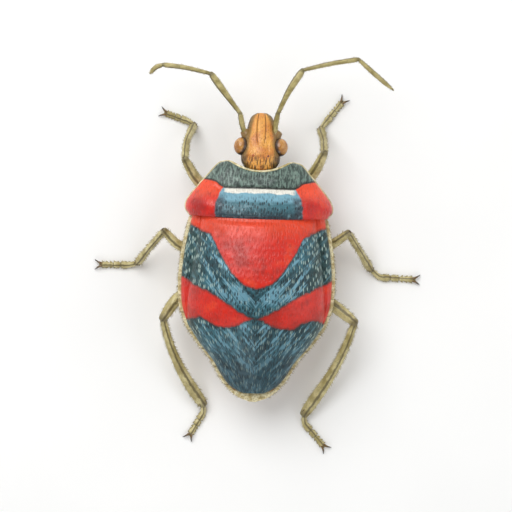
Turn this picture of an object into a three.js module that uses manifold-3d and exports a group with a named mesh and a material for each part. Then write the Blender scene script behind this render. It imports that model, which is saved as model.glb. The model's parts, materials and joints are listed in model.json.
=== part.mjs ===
// A brightly banded shield bug at life size, standing with its six feet on one level surface.
// Millimetres. +Z is up, the head points to -Y, and the animal's own left side is towards +X.
// The origin is on the ground, under the middle of the stance. The body's plane of symmetry is X = 0.
// Every hard plate and limb piece is a solid of its own, parted from the next by a thin cut.

import * as THREE from "three";
import { mergeVertices } from "three/addons/utils/BufferGeometryUtils.js";
import Module from "manifold-3d";

const wasm = await Module();
wasm.setup();

// Driving dimensions
const gap = 0.25; // between neighbouring plates and limb pieces
const headTip = -12.9; // y of the head's front end
const tailTip = 13.1; // y of the abdomen's rear end
const marginHeight = 5.1; // height of the body's side edge above the ground
const backHeight = 9.3; // height of the top of the shield
const bellyHeight = 2.3; // height of the lowest part of the belly
const neckY = -7.6; // where the head meets the pronotum, on the midline
const waistY = -3.3; // where the pronotum meets the shield
const abdomenY = 3.6; // where the thorax meets the abdomen, on the midline
const rimWidth = 0.42; // pale rim of the abdomen that shows beside the shield
const legThickness = 0.62; // of a tibia at its middle
const footThickness = 0.56;
const feelerThickness = 0.5;
const eyeRadius = 0.78;

const v = (x, y, z) => new THREE.Vector3(x, y, z);

// A smooth curve through [position, value] points that never swings past them.
function profile(points) {
  const last = points.length - 1;
  const rise = (i) => (points[i + 1][1] - points[i][1]) / (points[i + 1][0] - points[i][0]);
  const slopes = points.map((_, i) => {
    if (i === 0) return rise(0);
    if (i === last) return rise(last - 1);
    const before = rise(i - 1);
    const after = rise(i);
    return before * after <= 0 ? 0 : (2 * before * after) / (before + after);
  });
  return (position) => {
    if (position <= points[0][0]) return points[0][1];
    if (position >= points[last][0]) return points[last][1];
    const i = points.findIndex((p) => p[0] > position) - 1;
    const span = points[i + 1][0] - points[i][0];
    const t = (position - points[i][0]) / span;
    const hermite = [
      (1 + 2 * t) * (1 - t) ** 2 * points[i][1],
      t * (1 - t) ** 2 * slopes[i] * span,
      t ** 2 * (3 - 2 * t) * points[i + 1][1],
      t ** 2 * (t - 1) * slopes[i + 1] * span,
    ];
    return hermite.reduce((sum, term) => sum + term);
  };
}

// The outline of the body seen from above, and its heights above the ground, along the body
const halfWidth = profile([
  [waistY, 6.3], [0, 6.9], [2.3, 7.07], [4, 7.0], [6.1, 6.4], [7.75, 5.35],
  [9.5, 3.92], [10.6, 3.3], [11.95, 2.3], [12.7, 1.35], [tailTip, 0.3],
]);
const marginLevel = profile([[4, marginHeight], [8, 4.95], [10.5, 4.75], [tailTip, 4.5]]);
const bellyLevel = profile([
  [waistY, 2.55], [0, bellyHeight], [4, 2.35], [7, 2.8], [10, 3.5], [tailTip, 4.2],
]);
const shieldLevel = profile([
  [waistY, 8.45], [-1, 8.95], [2, backHeight], [5, 9.0], [8, 7.95], [10.5, 6.6], [12.3, 5.5],
]);
const shieldHalfWidth = profile([
  [waistY, 5.1], [-1, 5.5], [2.3, 5.95], [4.5, 6.1], [6.1, 5.85], [7.75, 4.9],
  [9.5, 3.5], [10.6, 2.85], [11.6, 2.05], [12.2, 1.1], [12.45, 0.3],
]);
const shelfRise = 0.35; // of the abdomen's flat top over its side edge

// A solid from a geometry, with shared vertices merged and its faces pointing out
function solid(geometry) {
  const bare = (geometry.index ? geometry.toNonIndexed() : geometry.clone()).deleteAttribute("normal");
  const merged = mergeVertices(bare.deleteAttribute("uv"), 1e-4);
  const vertProperties = merged.attributes.position.array;
  const triVerts = new Uint32Array(merged.index.array);
  const made = new wasm.Manifold(new wasm.Mesh({ numProp: 3, vertProperties, triVerts }));
  if (made.volume() > 0) return made;
  return new wasm.Manifold(new wasm.Mesh({ numProp: 3, vertProperties, triVerts: triVerts.reverse() }));
}

function geometryOf(positions, faces) {
  const geometry = new THREE.BufferGeometry();
  geometry.setAttribute("position", new THREE.Float32BufferAttribute(positions, 3));
  geometry.setIndex(faces);
  return geometry;
}

// A closed body through cross-sections along y. A section is widest at its level, rises and drops
// from there, and its sides lie further back than its middle by bow. Relief is a height that is
// added over the back, by place.
function loft(sections, around, relief = () => 0) {
  const positions = [];
  for (const { y, half, level, rise, drop, bow = 0, crown = 1, keel = 1 } of sections) {
    for (let k = 0; k < around; k++) {
      const across = Math.cos((2 * Math.PI * k) / around);
      const up = Math.sin((2 * Math.PI * k) / around);
      const [x, back] = [half * across, y + bow * across ** 2];
      const height = up > 0 ? rise * up ** crown + relief(x, back) * up : -drop * (-up) ** keel;
      positions.push(x, back, level + height);
    }
  }
  const faces = [];
  const quad = (a, b, c, d) => {
    if (b !== c) faces.push(a, b, c);
    if (a !== d) faces.push(a, c, d);
  };
  for (let i = 0; i + 1 < sections.length; i++) {
    for (let k = 0; k < around; k++) {
      const here = i * around;
      const next = (k + 1) % around;
      quad(here + k, here + next, here + around + next, here + around + k);
    }
  }
  for (const [start, isRear] of [[0, false], [(sections.length - 1) * around, true]]) {
    for (let k = 0; k < around / 2; k++) {
      const top = [start + k, start + k + 1];
      const bottom = [start + around - k - 1, start + ((around - k) % around)];
      if (isRear) quad(top[0], top[1], bottom[0], bottom[1]);
      else quad(top[1], top[0], bottom[1], bottom[0]);
    }
  }
  return solid(geometryOf(positions, faces));
}

// A round limb along a smooth path. Radii are [share of the length, radius], and the limb is
// flatness times as thick as it is wide.
function limb(path, radii, { steps = 7, sides = 10, flatness = 1 } = {}) {
  const curve = new THREE.CatmullRomCurve3(path, false, "centripetal");
  const radius = profile(radii);
  const positions = [];
  for (let i = 0; i <= steps; i++) {
    const centre = curve.getPoint(i / steps);
    const along = curve.getTangent(i / steps);
    const side = along.clone().cross(v(0, 0, 1)).normalize();
    const over = side.clone().cross(along);
    for (let k = 0; k < sides; k++) {
      const angle = (2 * Math.PI * k) / sides;
      const point = centre.clone()
        .addScaledVector(side, radius(i / steps) * Math.cos(angle))
        .addScaledVector(over, radius(i / steps) * flatness * Math.sin(angle));
      positions.push(...point);
    }
  }
  positions.push(...path[0], ...path[path.length - 1]);
  const [start, end] = [(steps + 1) * sides, (steps + 1) * sides + 1];
  const faces = [];
  for (let k = 0; k < sides; k++) {
    const next = (k + 1) % sides;
    for (let i = 0; i < steps; i++) {
      const [a, b] = [i * sides + k, i * sides + next];
      faces.push(a, b, b + sides, a, b + sides, a + sides);
    }
    faces.push(start, next, k, end, steps * sides + k, steps * sides + next);
  }
  return solid(geometryOf(positions, faces));
}

function ellipsoid(centre, radii, segments = 14) {
  const ball = new THREE.SphereGeometry(1, segments, Math.round(segments * 0.7));
  return solid(ball.scale(radii.x, radii.y, radii.z).translate(centre.x, centre.y, centre.z));
}

// The radii of the space that a ball takes from its neighbours
const grown = (radii) => radii.clone().addScalar(gap);

const union = (...solids) => solids.reduce((sum, one) => sum.add(one));

// Keeps what lies beyond the point, along the direction
const beyond = (piece, point, direction, distance) =>
  piece.trimByPlane(direction.toArray(), point.dot(direction) + distance);

// Parts two limb pieces at their joint by a thin cut, square to the mean of their directions
function partAtJoint(inner, outer, joint, inwardPoint, outwardPoint) {
  const arriving = joint.clone().sub(inwardPoint).normalize();
  const leaving = outwardPoint.clone().sub(joint).normalize();
  const across = arriving.add(leaving).normalize();
  const back = across.clone().negate();
  return [beyond(inner, joint, back, gap / 2), beyond(outer, joint, across, gap / 2)];
}

// The point that lies past the end of a path, by some distance on the line of its last stretch
function past(end, before, distance) {
  return end.clone().addScaledVector(end.clone().sub(before).normalize(), distance);
}

const colours = {
  head: 0xd99a4e, eye: 0x8a5a22, feeler: 0x8f7f45, beak: 0x7a6232, pronotum: 0xd23420,
  shield: 0x2f6475, wing: 0x2b5260, belly: 0xb08a4a, thorax: 0x9b7a3e, leg: 0xa8985a, foot: 0x8c7a42,
};

const bug = new THREE.Group();

function addNode(name, manifold, colour, roughness = 0.4) {
  const largest = manifold.decompose().reduce((a, b) => (a.volume() > b.volume() ? a : b));
  const { vertProperties, triVerts } = largest.getMesh();
  const material = new THREE.MeshStandardMaterial({ color: colour, roughness, metalness: 0.1 });
  const mesh = new THREE.Mesh(geometryOf(Array.from(vertProperties), Array.from(triVerts)), material);
  mesh.name = name;
  bug.add(mesh);
}

// Antennae: a short first piece on the head's side, a thick second, a long third and a thin fourth
const antennae = {
  left: [
    v(1.3, -10.55, 5), v(1.95, -12.77, 5.7), v(4.66, -16.19, 6.3), v(8.99, -16.89, 6), v(10.15, -16.1, 5.4),
  ],
  right: [
    v(-1.3, -10.55, 5), v(-1.43, -12.88, 5.8), v(-3.5, -16.75, 6.5), v(-8.46, -17.9, 6.4),
    v(-11.72, -15.32, 5.4),
  ],
};
const antennaBulge = { left: v(0.12, -0.12, 0.1), right: v(0.12, -0.05, 0.1) };
const feeler = feelerThickness / 2;
const feelerRadii = [
  [[0, feeler * 1.25], [0.4, feeler], [1, feeler]],
  [[0, feeler], [0.75, feeler * 1.2], [1, feeler]],
  [[0, feeler], [1, feeler]],
  [[0, feeler], [0.4, feeler * 1.1], [0.8, feeler * 0.8], [1, feeler * 0.3]],
];

function antennaPieces(side) {
  const joints = antennae[side];
  const pieces = feelerRadii.map((radii, i) => {
    const middle = joints[i].clone().lerp(joints[i + 1], 0.5).add(antennaBulge[side]);
    const start = i === 0 ? joints[0] : past(joints[i], middle, feelerThickness);
    const end = i === 3 ? joints[4] : past(joints[i + 1], middle, feelerThickness);
    return limb([start, middle, end], radii, { steps: 5, sides: 8 });
  });
  for (let i = 0; i < 3; i++) {
    const [inner, outer] = partAtJoint(pieces[i], pieces[i + 1], joints[i + 1], joints[i], joints[i + 2]);
    pieces[i] = inner;
    pieces[i + 1] = outer;
  }
  return pieces;
}

// The space that an antenna's root takes in the head
function antennaSocket(side) {
  const [root, elbow] = antennae[side];
  const radii = [[0, feeler * 1.25 + gap], [1, feeler + gap]];
  return limb([past(root, elbow, gap), elbow], radii, { steps: 2, sides: 10 });
}

// Beak: a jointed tube folded back along the breast, from the head's front to between the middle legs
const beakRadius = 0.27;
const beakRadii = [[0, beakRadius], [0.7, beakRadius], [1, 0.12]];
const beakPath = [v(0, -11.9, 3.75), v(0, -11.0, 2.95), v(0, -9.4, 2.35), v(0, -6, 1.95), v(0, -3.2, 1.85)];

// Head: a long wedge, with a raised middle lobe, two knobs that carry the antennae, and two ocelli
const headSections = [
  { y: headTip, half: 0.45, level: 4.65, rise: 0.22, drop: 0.22 },
  { y: -12.6, half: 0.82, level: 4.7, rise: 0.45, drop: 0.5 },
  { y: -12.1, half: 1.04, level: 4.75, rise: 0.7, drop: 0.8 },
  { y: -11.3, half: 1.18, level: 4.85, rise: 0.95, drop: 1.15 },
  { y: -10.6, half: 1.42, level: 4.95, rise: 1.15, drop: 1.4 },
  { y: -9.85, half: 1.66, level: 5.0, rise: 1.32, drop: 1.6 },
  { y: -9.0, half: 1.78, level: 5.05, rise: 1.4, drop: 1.7 },
  { y: -8.35, half: 1.72, level: 5.05, rise: 1.4, drop: 1.7, bow: -0.15 },
  { y: neckY - gap, half: 1.55, level: 5.05, rise: 1.3, drop: 1.6, bow: -0.33 },
].map((section) => ({ crown: 0.8, keel: 0.9, ...section }));
const eyeCentre = (side) => v(side * 1.72, -9.85, 5.4);
const eyeRadii = v(eyeRadius * 0.92, eyeRadius * 1.05, eyeRadius);

function headSolid() {
  const skull = loft(headSections, 28);
  const tylus = loft([
    { y: headTip - 0.02, half: 0.22, level: 4.65, rise: 0.3, drop: 0.1 },
    { y: -12.2, half: 0.36, level: 4.75, rise: 0.82, drop: 0.1 },
    { y: -11, half: 0.4, level: 4.9, rise: 1.22, drop: 0.1 },
    { y: -10.2, half: 0.3, level: 5, rise: 1.25, drop: 0.1 },
  ], 12);
  const knobs = [-1, 1].map((side) =>
    limb([v(side * 0.9, -10.2, 4.95), v(side * 1.5, -11.25, 5.05)], [[0, 0.6], [1, 0.48]], { steps: 2 }));
  const ocelli = [-1, 1].map((side) => ellipsoid(v(side * 0.62, -9.05, 6.38), v(0.2, 0.2, 0.16), 8));
  const beakSocket = limb(beakPath.slice(0, 3), [[0, beakRadius + gap], [1, beakRadius + gap]], { steps: 4 });
  const eyeSockets = [-1, 1].map((side) => ellipsoid(eyeCentre(side), grown(eyeRadii), 16));
  const holes = union(...eyeSockets, antennaSocket("left"), antennaSocket("right"), beakSocket);
  return union(skull, tylus, ...knobs, ...ocelli).subtract(holes);
}

addNode("head", headSolid(), colours.head);
addNode("eye_left", ellipsoid(eyeCentre(1), eyeRadii), colours.eye, 0.15);
addNode("eye_right", ellipsoid(eyeCentre(-1), eyeRadii), colours.eye, 0.15);
addNode("beak", limb(beakPath, beakRadii, { steps: 12, sides: 8 }), colours.beak);
for (const side of ["left", "right"]) {
  antennaPieces(side).forEach((piece, i) => addNode(`antenna_${side}_${i + 1}`, piece, colours.feeler));
}

// Coxae: the ball at the root of each leg, in its socket in the breast
const coxaRadii = v(0.78, 0.82, 0.72);
const coxaCentres = {
  front: (side) => v(side * 1.95, -4.7, 2.5),
  middle: (side) => v(side * 2.05, -0.6, 2.25),
  hind: (side) => v(side * 2.2, 2.0, 2.2),
};

// Pronotum: the collar's two front lobes, the hollow between them for the head, the furrow behind
// the collar, and the swollen shoulders. Its outline and heights are given by the distance from its front.
const pronotumProfiles = {
  half: profile([
    [0, 2.95], [0.22, 3.8], [0.65, 4.5], [1.3, 5.35], [1.6, 5.68],
    [2, 6], [2.7, 6.37], [3.3, 6.45], [4.3, 6.15],
  ]),
  level: profile([[0, 4.95], [0.65, 4.98], [1.6, 5.04], [2.7, marginHeight]]),
  rise: profile([
    [0, 1.45], [0.22, 1.62], [0.65, 1.78], [1.3, 1.9], [1.6, 2],
    [2, 2.25], [2.7, 2.75], [3.3, 3.05], [4.3, 3.2],
  ]),
  drop: profile([[0, 1.55], [0.22, 1.75], [0.65, 1.95], [1.3, 2.15], [2, 2.3], [3.3, 2.45], [4.3, 2.5]]),
  bow: profile([[0, -1.08], [0.22, -0.84], [0.65, -0.46], [1.3, -0.12], [1.6, 0], [3.3, 0], [4.3, -0.25]]),
};
const pronotumStations = [0, 0.12, 0.35, 0.65, 1, 1.25, 1.4, 1.55, 1.75, 2.1, 2.5, 2.9, 3.3, 3.8, 4.3];
const collarEnd = profile([[0, -6.1], [3, -6.08], [3.5, -6.3], [3.9, -6.62], [4.6, -6.8], [5.2, -6.9]]);
const bell = (value, centre, width) => Math.exp(-(((value - centre) / width) ** 2));

function pronotumRelief(x, y) {
  const out = Math.abs(x);
  const shoulder = bell(out, 4.75, 1.15) * bell(y, -4.85, 0.95);
  const middle = bell(x, 0, 2.6) * bell(y, -4.6, 0.8);
  const furrow = bell(y, collarEnd(out), 0.16) * bell(out, 0, 5);
  return 0.42 * shoulder + 0.1 * middle - 0.17 * furrow;
}

function pronotumSolid() {
  const sections = pronotumStations.map((back) => {
    const sizes = Object.entries(pronotumProfiles).map(([name, along]) => [name, along(back)]);
    return { y: neckY + back, crown: 0.8, keel: 1.9, ...Object.fromEntries(sizes) };
  });
  const sockets = [-1, 1].map((side) => ellipsoid(coxaCentres.front(side), grown(coxaRadii)));
  return loft(sections, 44, pronotumRelief).subtract(union(...sockets));
}

addNode("pronotum", pronotumSolid(), colours.pronotum);

// Shield: the great dome of the scutellum, which covers the folded wings and all but the abdomen's rim
const shieldStations = [waistY + gap, -2.2, -1, 0.6, 2.3, 4.2, 6, 7.6, 9, 10.2, 11.2, 11.9, 12.3];
const shieldSections = shieldStations.map((y) => {
  const level = marginLevel(y) + shelfRise + gap;
  return { y, half: shieldHalfWidth(y), level, rise: shieldLevel(y) - level, drop: 0.02, crown: 0.85 };
});
shieldSections[0].bow = -0.2;
addNode("shield", loft(shieldSections, 36), colours.shield);

// Forewings: only their hard outer edges show, between the shield and the abdomen's rim
const wingEnd = 6.2;
function wingEdge(side) {
  const stations = [waistY + gap, -1.5, 0.5, 2.5, 4.2, 5.4, wingEnd];
  const positions = [];
  for (const y of stations) {
    const inner = shieldHalfWidth(y) + gap;
    const outer = Math.max(halfWidth(y) - rimWidth, inner + 0.12);
    const floor = marginLevel(y) + shelfRise + gap;
    const crest = 0.5 * (1 - Math.max(0, (y - 3) / (wingEnd - 3)) ** 2) + 0.2;
    for (const [x, z] of [[inner, floor], [outer, floor], [outer, floor + 0.3 * crest],
      [(inner + outer) / 2, floor + 0.85 * crest], [inner, floor + crest]]) {
      positions.push(side * x, y, z);
    }
  }
  const corners = 5;
  const faces = [];
  for (let i = 0; i + 1 < stations.length; i++) {
    for (let k = 0; k < corners; k++) {
      const [a, b] = [i * corners + k, i * corners + ((k + 1) % corners)];
      faces.push(a, b, b + corners, a, b + corners, a + corners);
    }
  }
  const rear = (stations.length - 1) * corners;
  for (let k = 1; k + 1 < corners; k++) faces.push(0, k + 1, k, rear, rear + k, rear + k + 1);
  return solid(geometryOf(positions, faces));
}

addNode("wing_edge_left", wingEdge(1), colours.wing);
addNode("wing_edge_right", wingEdge(-1), colours.wing);

// Thorax and abdomen: the lower half of the body, with a flat top that the shield rests over
const lowerBody = (y, swell = 1) => ({
  y,
  half: halfWidth(y) * (0.5 + 0.5 * swell),
  level: marginLevel(y),
  rise: shelfRise,
  drop: (marginLevel(y) - bellyLevel(y)) * swell,
  crown: 0.3,
  keel: 2,
});

function thoraxSolid() {
  const stations = [waistY + gap, -2, -0.5, 1, 2.4, abdomenY];
  const sections = stations.map((y) => lowerBody(y));
  sections[0].bow = -0.25;
  sections[stations.length - 1].bow = -0.6;
  const sockets = [-1, 1].flatMap((side) => [
    ellipsoid(coxaCentres.middle(side), grown(coxaRadii)),
    ellipsoid(coxaCentres.hind(side), grown(coxaRadii)),
  ]);
  return loft(sections, 36).subtract(union(...sockets));
}

// Each ring of the abdomen ends in a low step, where it overlaps the next one
const ringCount = 5;
const ringLength = (11.6 - abdomenY) / ringCount;
function abdomenSolid() {
  const sections = [lowerBody(abdomenY + gap)];
  sections[0].bow = -0.6;
  for (let ring = 1; ring <= ringCount; ring++) {
    const edge = abdomenY + ring * ringLength;
    sections.push(lowerBody(edge - ringLength / 3), lowerBody(edge, 1.01), lowerBody(edge + 0.12, 0.955));
  }
  sections.push(lowerBody(12.3), lowerBody(12.8), lowerBody(tailTip));
  return loft(sections, 36);
}

addNode("thorax", thoraxSolid(), colours.thorax);
addNode("abdomen", abdomenSolid(), colours.belly);

// Legs. Each is given by its femur from coxa to knee, its tibia from knee to ankle and its tarsus
// from ankle to claws, which lies on the ground.
const ankleHeight = 0.62;
const soleDepth = 0.2; // height of the tarsus's centre line over the ground
const legs = {
  front_left: {
    coxa: coxaCentres.front(1),
    femur: [v(4.0, -5.5, 2.75), v(5.7, -6.8, 3.35)],
    knee: v(6.83, -8.57, 4.1),
    tibia: [v(6.75, -10.3, 2.6)],
    ankle: v(6.2, -11.9, ankleHeight),
    tarsus: [v(6.9, -12.3, soleDepth), v(8.77, -12.9, soleDepth)],
  },
  front_right: {
    coxa: coxaCentres.front(-1),
    femur: [v(-3.6, -6.2, 2.75), v(-4.95, -7.9, 3.4)],
    knee: v(-5.75, -9.55, 4.2),
    tibia: [v(-5.7, -10.8, 2.5)],
    ankle: v(-5.45, -11.9, ankleHeight),
    tarsus: [v(-5.95, -12.6, soleDepth), v(-7.3, -14.4, soleDepth)],
  },
  middle_left: {
    coxa: coxaCentres.middle(1),
    femur: [v(4.6, -0.35, 2.6), v(7.05, -0.75, 3.6)],
    knee: v(8.5, -2.05, 4.2),
    tibia: [v(9.75, -0.6, 2.6)],
    ankle: v(11.0, 0.95, ankleHeight),
    tarsus: [v(11.8, 1.15, soleDepth), v(14.3, 1.2, soleDepth)],
  },
  middle_right: {
    coxa: coxaCentres.middle(-1),
    femur: [v(-4.5, -0.75, 2.6), v(-6.8, -1.4, 3.6)],
    knee: v(-8.15, -2.4, 4.2),
    tibia: [v(-9.3, -0.8, 2.6)],
    ankle: v(-10.45, 0.85, ankleHeight),
    tarsus: [v(-11.4, 1.55, soleDepth), v(-14.4, 1.66, soleDepth)],
  },
  hind_left: {
    coxa: coxaCentres.hind(1),
    femur: [v(4.8, 2.75, 2.55), v(7.1, 4.1, 3.5)],
    knee: v(8.35, 5.9, 4.2),
    tibia: [v(7.55, 8.5, 3.4), v(6.3, 11.1, 2.2)],
    ankle: v(4.5, 13.8, ankleHeight + 0.05),
    tarsus: [v(4.55, 14.6, soleDepth), v(5.6, 16.5, soleDepth)],
  },
  hind_right: {
    coxa: coxaCentres.hind(-1),
    femur: [v(-4.8, 2.95, 2.55), v(-7.1, 4.25, 3.5)],
    knee: v(-9.0, 5.65, 4.2),
    tibia: [v(-8.2, 8.1, 3.4), v(-7.05, 10.6, 2.3)],
    ankle: v(-4.75, 14.4, ankleHeight + 0.05),
    tarsus: [v(-4.9, 15.3, soleDepth), v(-6.6, 17.2, soleDepth)],
  },
};

const tibiaRadius = legThickness / 2;
const overrun = 0.35; // of a limb piece past its joint, before the joint's cut
const femurRadii = {
  front: [[0, 0.42], [0.45, 0.5], [0.8, 0.46], [1, 0.36]],
  middle: [[0, 0.42], [0.5, 0.46], [0.8, 0.42], [1, 0.34]],
  hind: [[0, 0.44], [0.5, 0.56], [0.85, 0.52], [1, 0.42]],
};
const tibiaRadii = {
  front: [[0, tibiaRadius], [0.5, tibiaRadius], [1, tibiaRadius * 1.12]],
  middle: [[0, tibiaRadius], [0.5, tibiaRadius], [1, tibiaRadius * 1.15]],
  hind: [[0, tibiaRadius * 0.95], [0.3, tibiaRadius], [0.75, tibiaRadius * 1.5], [1, tibiaRadius * 1.3]],
};

// Foot: three beads, the middle one short, ending in two hooked claws
function foot({ ankle, tarsus }) {
  const [bend, tip] = tarsus;
  const along = tip.clone().sub(bend).normalize();
  const sideways = along.clone().cross(v(0, 0, 1));
  const radius = footThickness / 2;
  const bead = (from, to, thick) => {
    const radii = [[0, radius * 0.75], [0.7, radius * thick], [1, radius * 0.8]];
    return limb([from, from.clone().lerp(to, 0.5), to], radii, { steps: 4, sides: 8 });
  };
  const first = bend.clone().lerp(tip, 0.3);
  const second = bend.clone().lerp(tip, 0.55);
  const beads = [
    limb([past(ankle, bend, footThickness), ankle, bend, first],
      [[0, radius * 0.8], [0.8, radius * 1.1], [1, radius * 0.8]], { steps: 7, sides: 8 }),
    bead(past(first, second, 0.12), past(second, first, 0.1), 1.1),
    bead(past(second, tip, 0.1), tip, 0.95),
  ];
  const claws = [-1, 1].map((side) => {
    const spread = tip.clone().addScaledVector(along, 0.42).addScaledVector(sideways, side * 0.32);
    const point = tip.clone().addScaledVector(along, 0.72).addScaledVector(sideways, side * 0.5);
    return limb([tip.clone().addScaledVector(along, -0.25), spread, point.setZ(0.07)],
      [[0, 0.2], [0.6, 0.14], [1, 0.05]], { steps: 4, sides: 6 });
  });
  return union(...beads, ...claws).trimByPlane([0, 0, 1], 0);
}

for (const [name, leg] of Object.entries(legs)) {
  const pair = name.split("_")[0];
  const { coxa, knee, ankle } = leg;
  const lastOfFemur = leg.femur[leg.femur.length - 1];
  const firstOfTibia = leg.tibia[0];
  const lastOfTibia = leg.tibia[leg.tibia.length - 1];
  const femurPath = [coxa, ...leg.femur, past(knee, lastOfFemur, overrun)];
  const wholeFemur = limb(femurPath, femurRadii[pair], { steps: 8 });
  const tibiaPath = [past(knee, firstOfTibia, overrun), ...leg.tibia, past(ankle, lastOfTibia, overrun)];
  const flatness = pair === "hind" ? 0.7 : 1;
  const wholeTibia = limb(tibiaPath, tibiaRadii[pair], { steps: 8, flatness });
  const femurClearOfCoxa = wholeFemur.subtract(ellipsoid(coxa, grown(coxaRadii)));
  const [femur, kneeCut] = partAtJoint(femurClearOfCoxa, wholeTibia, knee, lastOfFemur, firstOfTibia);
  const [tibia, tarsus] = partAtJoint(kneeCut, foot(leg), ankle, lastOfTibia, leg.tarsus[0]);
  addNode(`coxa_${name}`, ellipsoid(coxa, coxaRadii, 12), colours.leg);
  addNode(`femur_${name}`, femur, colours.leg);
  addNode(`tibia_${name}`, tibia, colours.leg);
  addNode(`foot_${name}`, tarsus, colours.foot);
}

export default bug;
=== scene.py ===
"""Shield bug, standing, seen from above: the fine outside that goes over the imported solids.

Lengths are in millimetres until a mesh is made, and +Z is up. The head points to -Y and the
animal's own left side is towards +X, as in the frame.
"""

import json
import math
from functools import partial

import bmesh
import bpy
import numpy as np
from mathutils import Matrix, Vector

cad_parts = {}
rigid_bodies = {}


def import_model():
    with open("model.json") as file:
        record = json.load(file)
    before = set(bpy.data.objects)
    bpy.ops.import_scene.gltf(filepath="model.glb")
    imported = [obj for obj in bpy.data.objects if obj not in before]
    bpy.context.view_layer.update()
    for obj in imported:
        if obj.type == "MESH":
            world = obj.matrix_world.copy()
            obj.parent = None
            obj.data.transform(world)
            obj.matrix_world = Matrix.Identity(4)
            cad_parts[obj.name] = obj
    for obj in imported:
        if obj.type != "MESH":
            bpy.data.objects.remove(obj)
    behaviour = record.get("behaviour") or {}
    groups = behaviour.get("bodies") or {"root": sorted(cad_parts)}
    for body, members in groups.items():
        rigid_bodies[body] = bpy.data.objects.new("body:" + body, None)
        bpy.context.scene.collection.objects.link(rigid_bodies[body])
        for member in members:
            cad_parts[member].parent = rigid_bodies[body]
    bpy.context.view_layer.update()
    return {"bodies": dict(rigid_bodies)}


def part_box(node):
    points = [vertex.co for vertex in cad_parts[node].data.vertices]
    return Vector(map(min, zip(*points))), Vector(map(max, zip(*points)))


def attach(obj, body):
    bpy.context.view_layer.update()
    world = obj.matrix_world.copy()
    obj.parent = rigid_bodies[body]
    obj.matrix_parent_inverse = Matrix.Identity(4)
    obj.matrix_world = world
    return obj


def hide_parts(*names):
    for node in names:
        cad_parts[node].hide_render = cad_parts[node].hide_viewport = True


bl_info = {
    "name": "Shield Bug",
    "version": (1, 0, 0),
    "blender": (4, 5, 0),
    "location": "View3D > Sidebar > Shield Bug",
    "description": "Dresses the packed shield bug with plates, limbs, bristles and materials",
    "category": "Object",
}

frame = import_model()

MM = 0.001
SIDES = {"left": 1, "right": -1}
PAIRS = ("front", "middle", "hind")


def node_box(node):
    """Lowest and highest corner of a solid, in millimetres."""
    low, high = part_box(node)
    return np.array(low) / MM, np.array(high) / MM


# Places that are read from the frame

HEAD_TIP = node_box("head")[0][1]
HEAD_BACK = node_box("head")[1][1]
NECK_Y = HEAD_BACK + 0.25
WAIST_Y = node_box("pronotum")[1][1]
ABDOMEN_Y = node_box("thorax")[1][1]
SHIELD_END = node_box("shield")[1][1]
SHIELD_TOP = node_box("shield")[1][2]
TAIL_TIP = node_box("abdomen")[1][1]
WING_END = node_box("wing_edge_left")[1][1]

# Sizes of the outline and of the fine forms

MARGIN_HEIGHT = 5.1
SHELF_RISE = 0.35
RIM_WIDTH = 0.42
RIM_BEAD = 0.1
BAND_SOFTNESS = 0.07
PLATE_OVERHANG = 0.12
SHOULDER_SWELL = 0.16
COLLAR_BLUNTING = 0.2
ABDOMEN_RINGS = 5
FLOOR_GAP = 0.004  # keeps the feet and the bristles off the floor
FLANK_ROWS = 0.7  # share of the shell's fall that counts as width between rows of pits
COAT_STRIPS = 48  # strips of the coat's map, one to a limb
BRISTLE_BEND = 0.35  # how far a bristle's tip bends aside, as a share of its length


# Curves

def curve(points):
    """Smooth curve through (position, value) pairs that never swings past them, for numbers or arrays."""
    places, values = np.array(points, dtype=float).T
    spans = np.diff(places)
    rises = np.diff(values) / spans
    slopes = np.concatenate([rises[:1], np.zeros(len(places) - 2), rises[-1:]])
    steady = rises[:-1] * rises[1:] > 0
    total = np.where(steady, rises[:-1] + rises[1:], 1.0)
    slopes[1:-1] = np.where(steady, 2 * rises[:-1] * rises[1:] / total, 0.0)

    def value(position):
        position = np.clip(position, places[0], places[-1])
        i = np.clip(np.searchsorted(places, position, side="right") - 1, 0, len(spans) - 1)
        t = (position - places[i]) / spans[i]
        return (
            (1 + 2 * t) * (1 - t) ** 2 * values[i]
            + t * (1 - t) ** 2 * slopes[i] * spans[i]
            + t**2 * (3 - 2 * t) * values[i + 1]
            + t**2 * (t - 1) * slopes[i + 1] * spans[i]
        )

    return value


def fade(value, start, end):
    """0 at start, 1 at end, with a smooth step between."""
    t = np.clip((value - start) / (end - start), 0, 1)
    return t * t * (3 - 2 * t)


def bump(value, centre, width):
    """1 at centre, falling off over width like a soft ridge."""
    return np.exp(-(((value - centre) / width) ** 2))


body_half = curve([
    (WAIST_Y, 6.3), (0, 6.9), (2.3, 7.07), (4, 7.0), (6.1, 6.4), (7.75, 5.35),
    (9.5, 3.92), (10.6, 3.3), (11.95, 2.3), (12.7, 1.35), (TAIL_TIP, 0.3),
])
margin_level = curve([(4, MARGIN_HEIGHT), (8, 4.95), (10.5, 4.75), (TAIL_TIP, 4.5)])
belly_level = curve([(WAIST_Y, 2.55), (0, 2.3), (4, 2.35), (7, 2.8), (10, 3.5), (TAIL_TIP, 4.2)])
shield_level = curve([
    (WAIST_Y, 8.4), (-1, 8.95), (2, SHIELD_TOP), (5, 9.0), (8, 7.95), (10.5, 6.6), (12.3, 5.5),
])
shield_half = curve([
    (WAIST_Y, 5.1), (-1, 5.5), (2.3, 5.95), (4.5, 6.1), (6.1, 5.85), (7.75, 4.9),
    (9.5, 3.5), (10.6, 2.85), (11.6, 2.05), (12.2, 1.1), (SHIELD_END + 0.15, 0.3),
])

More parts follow.
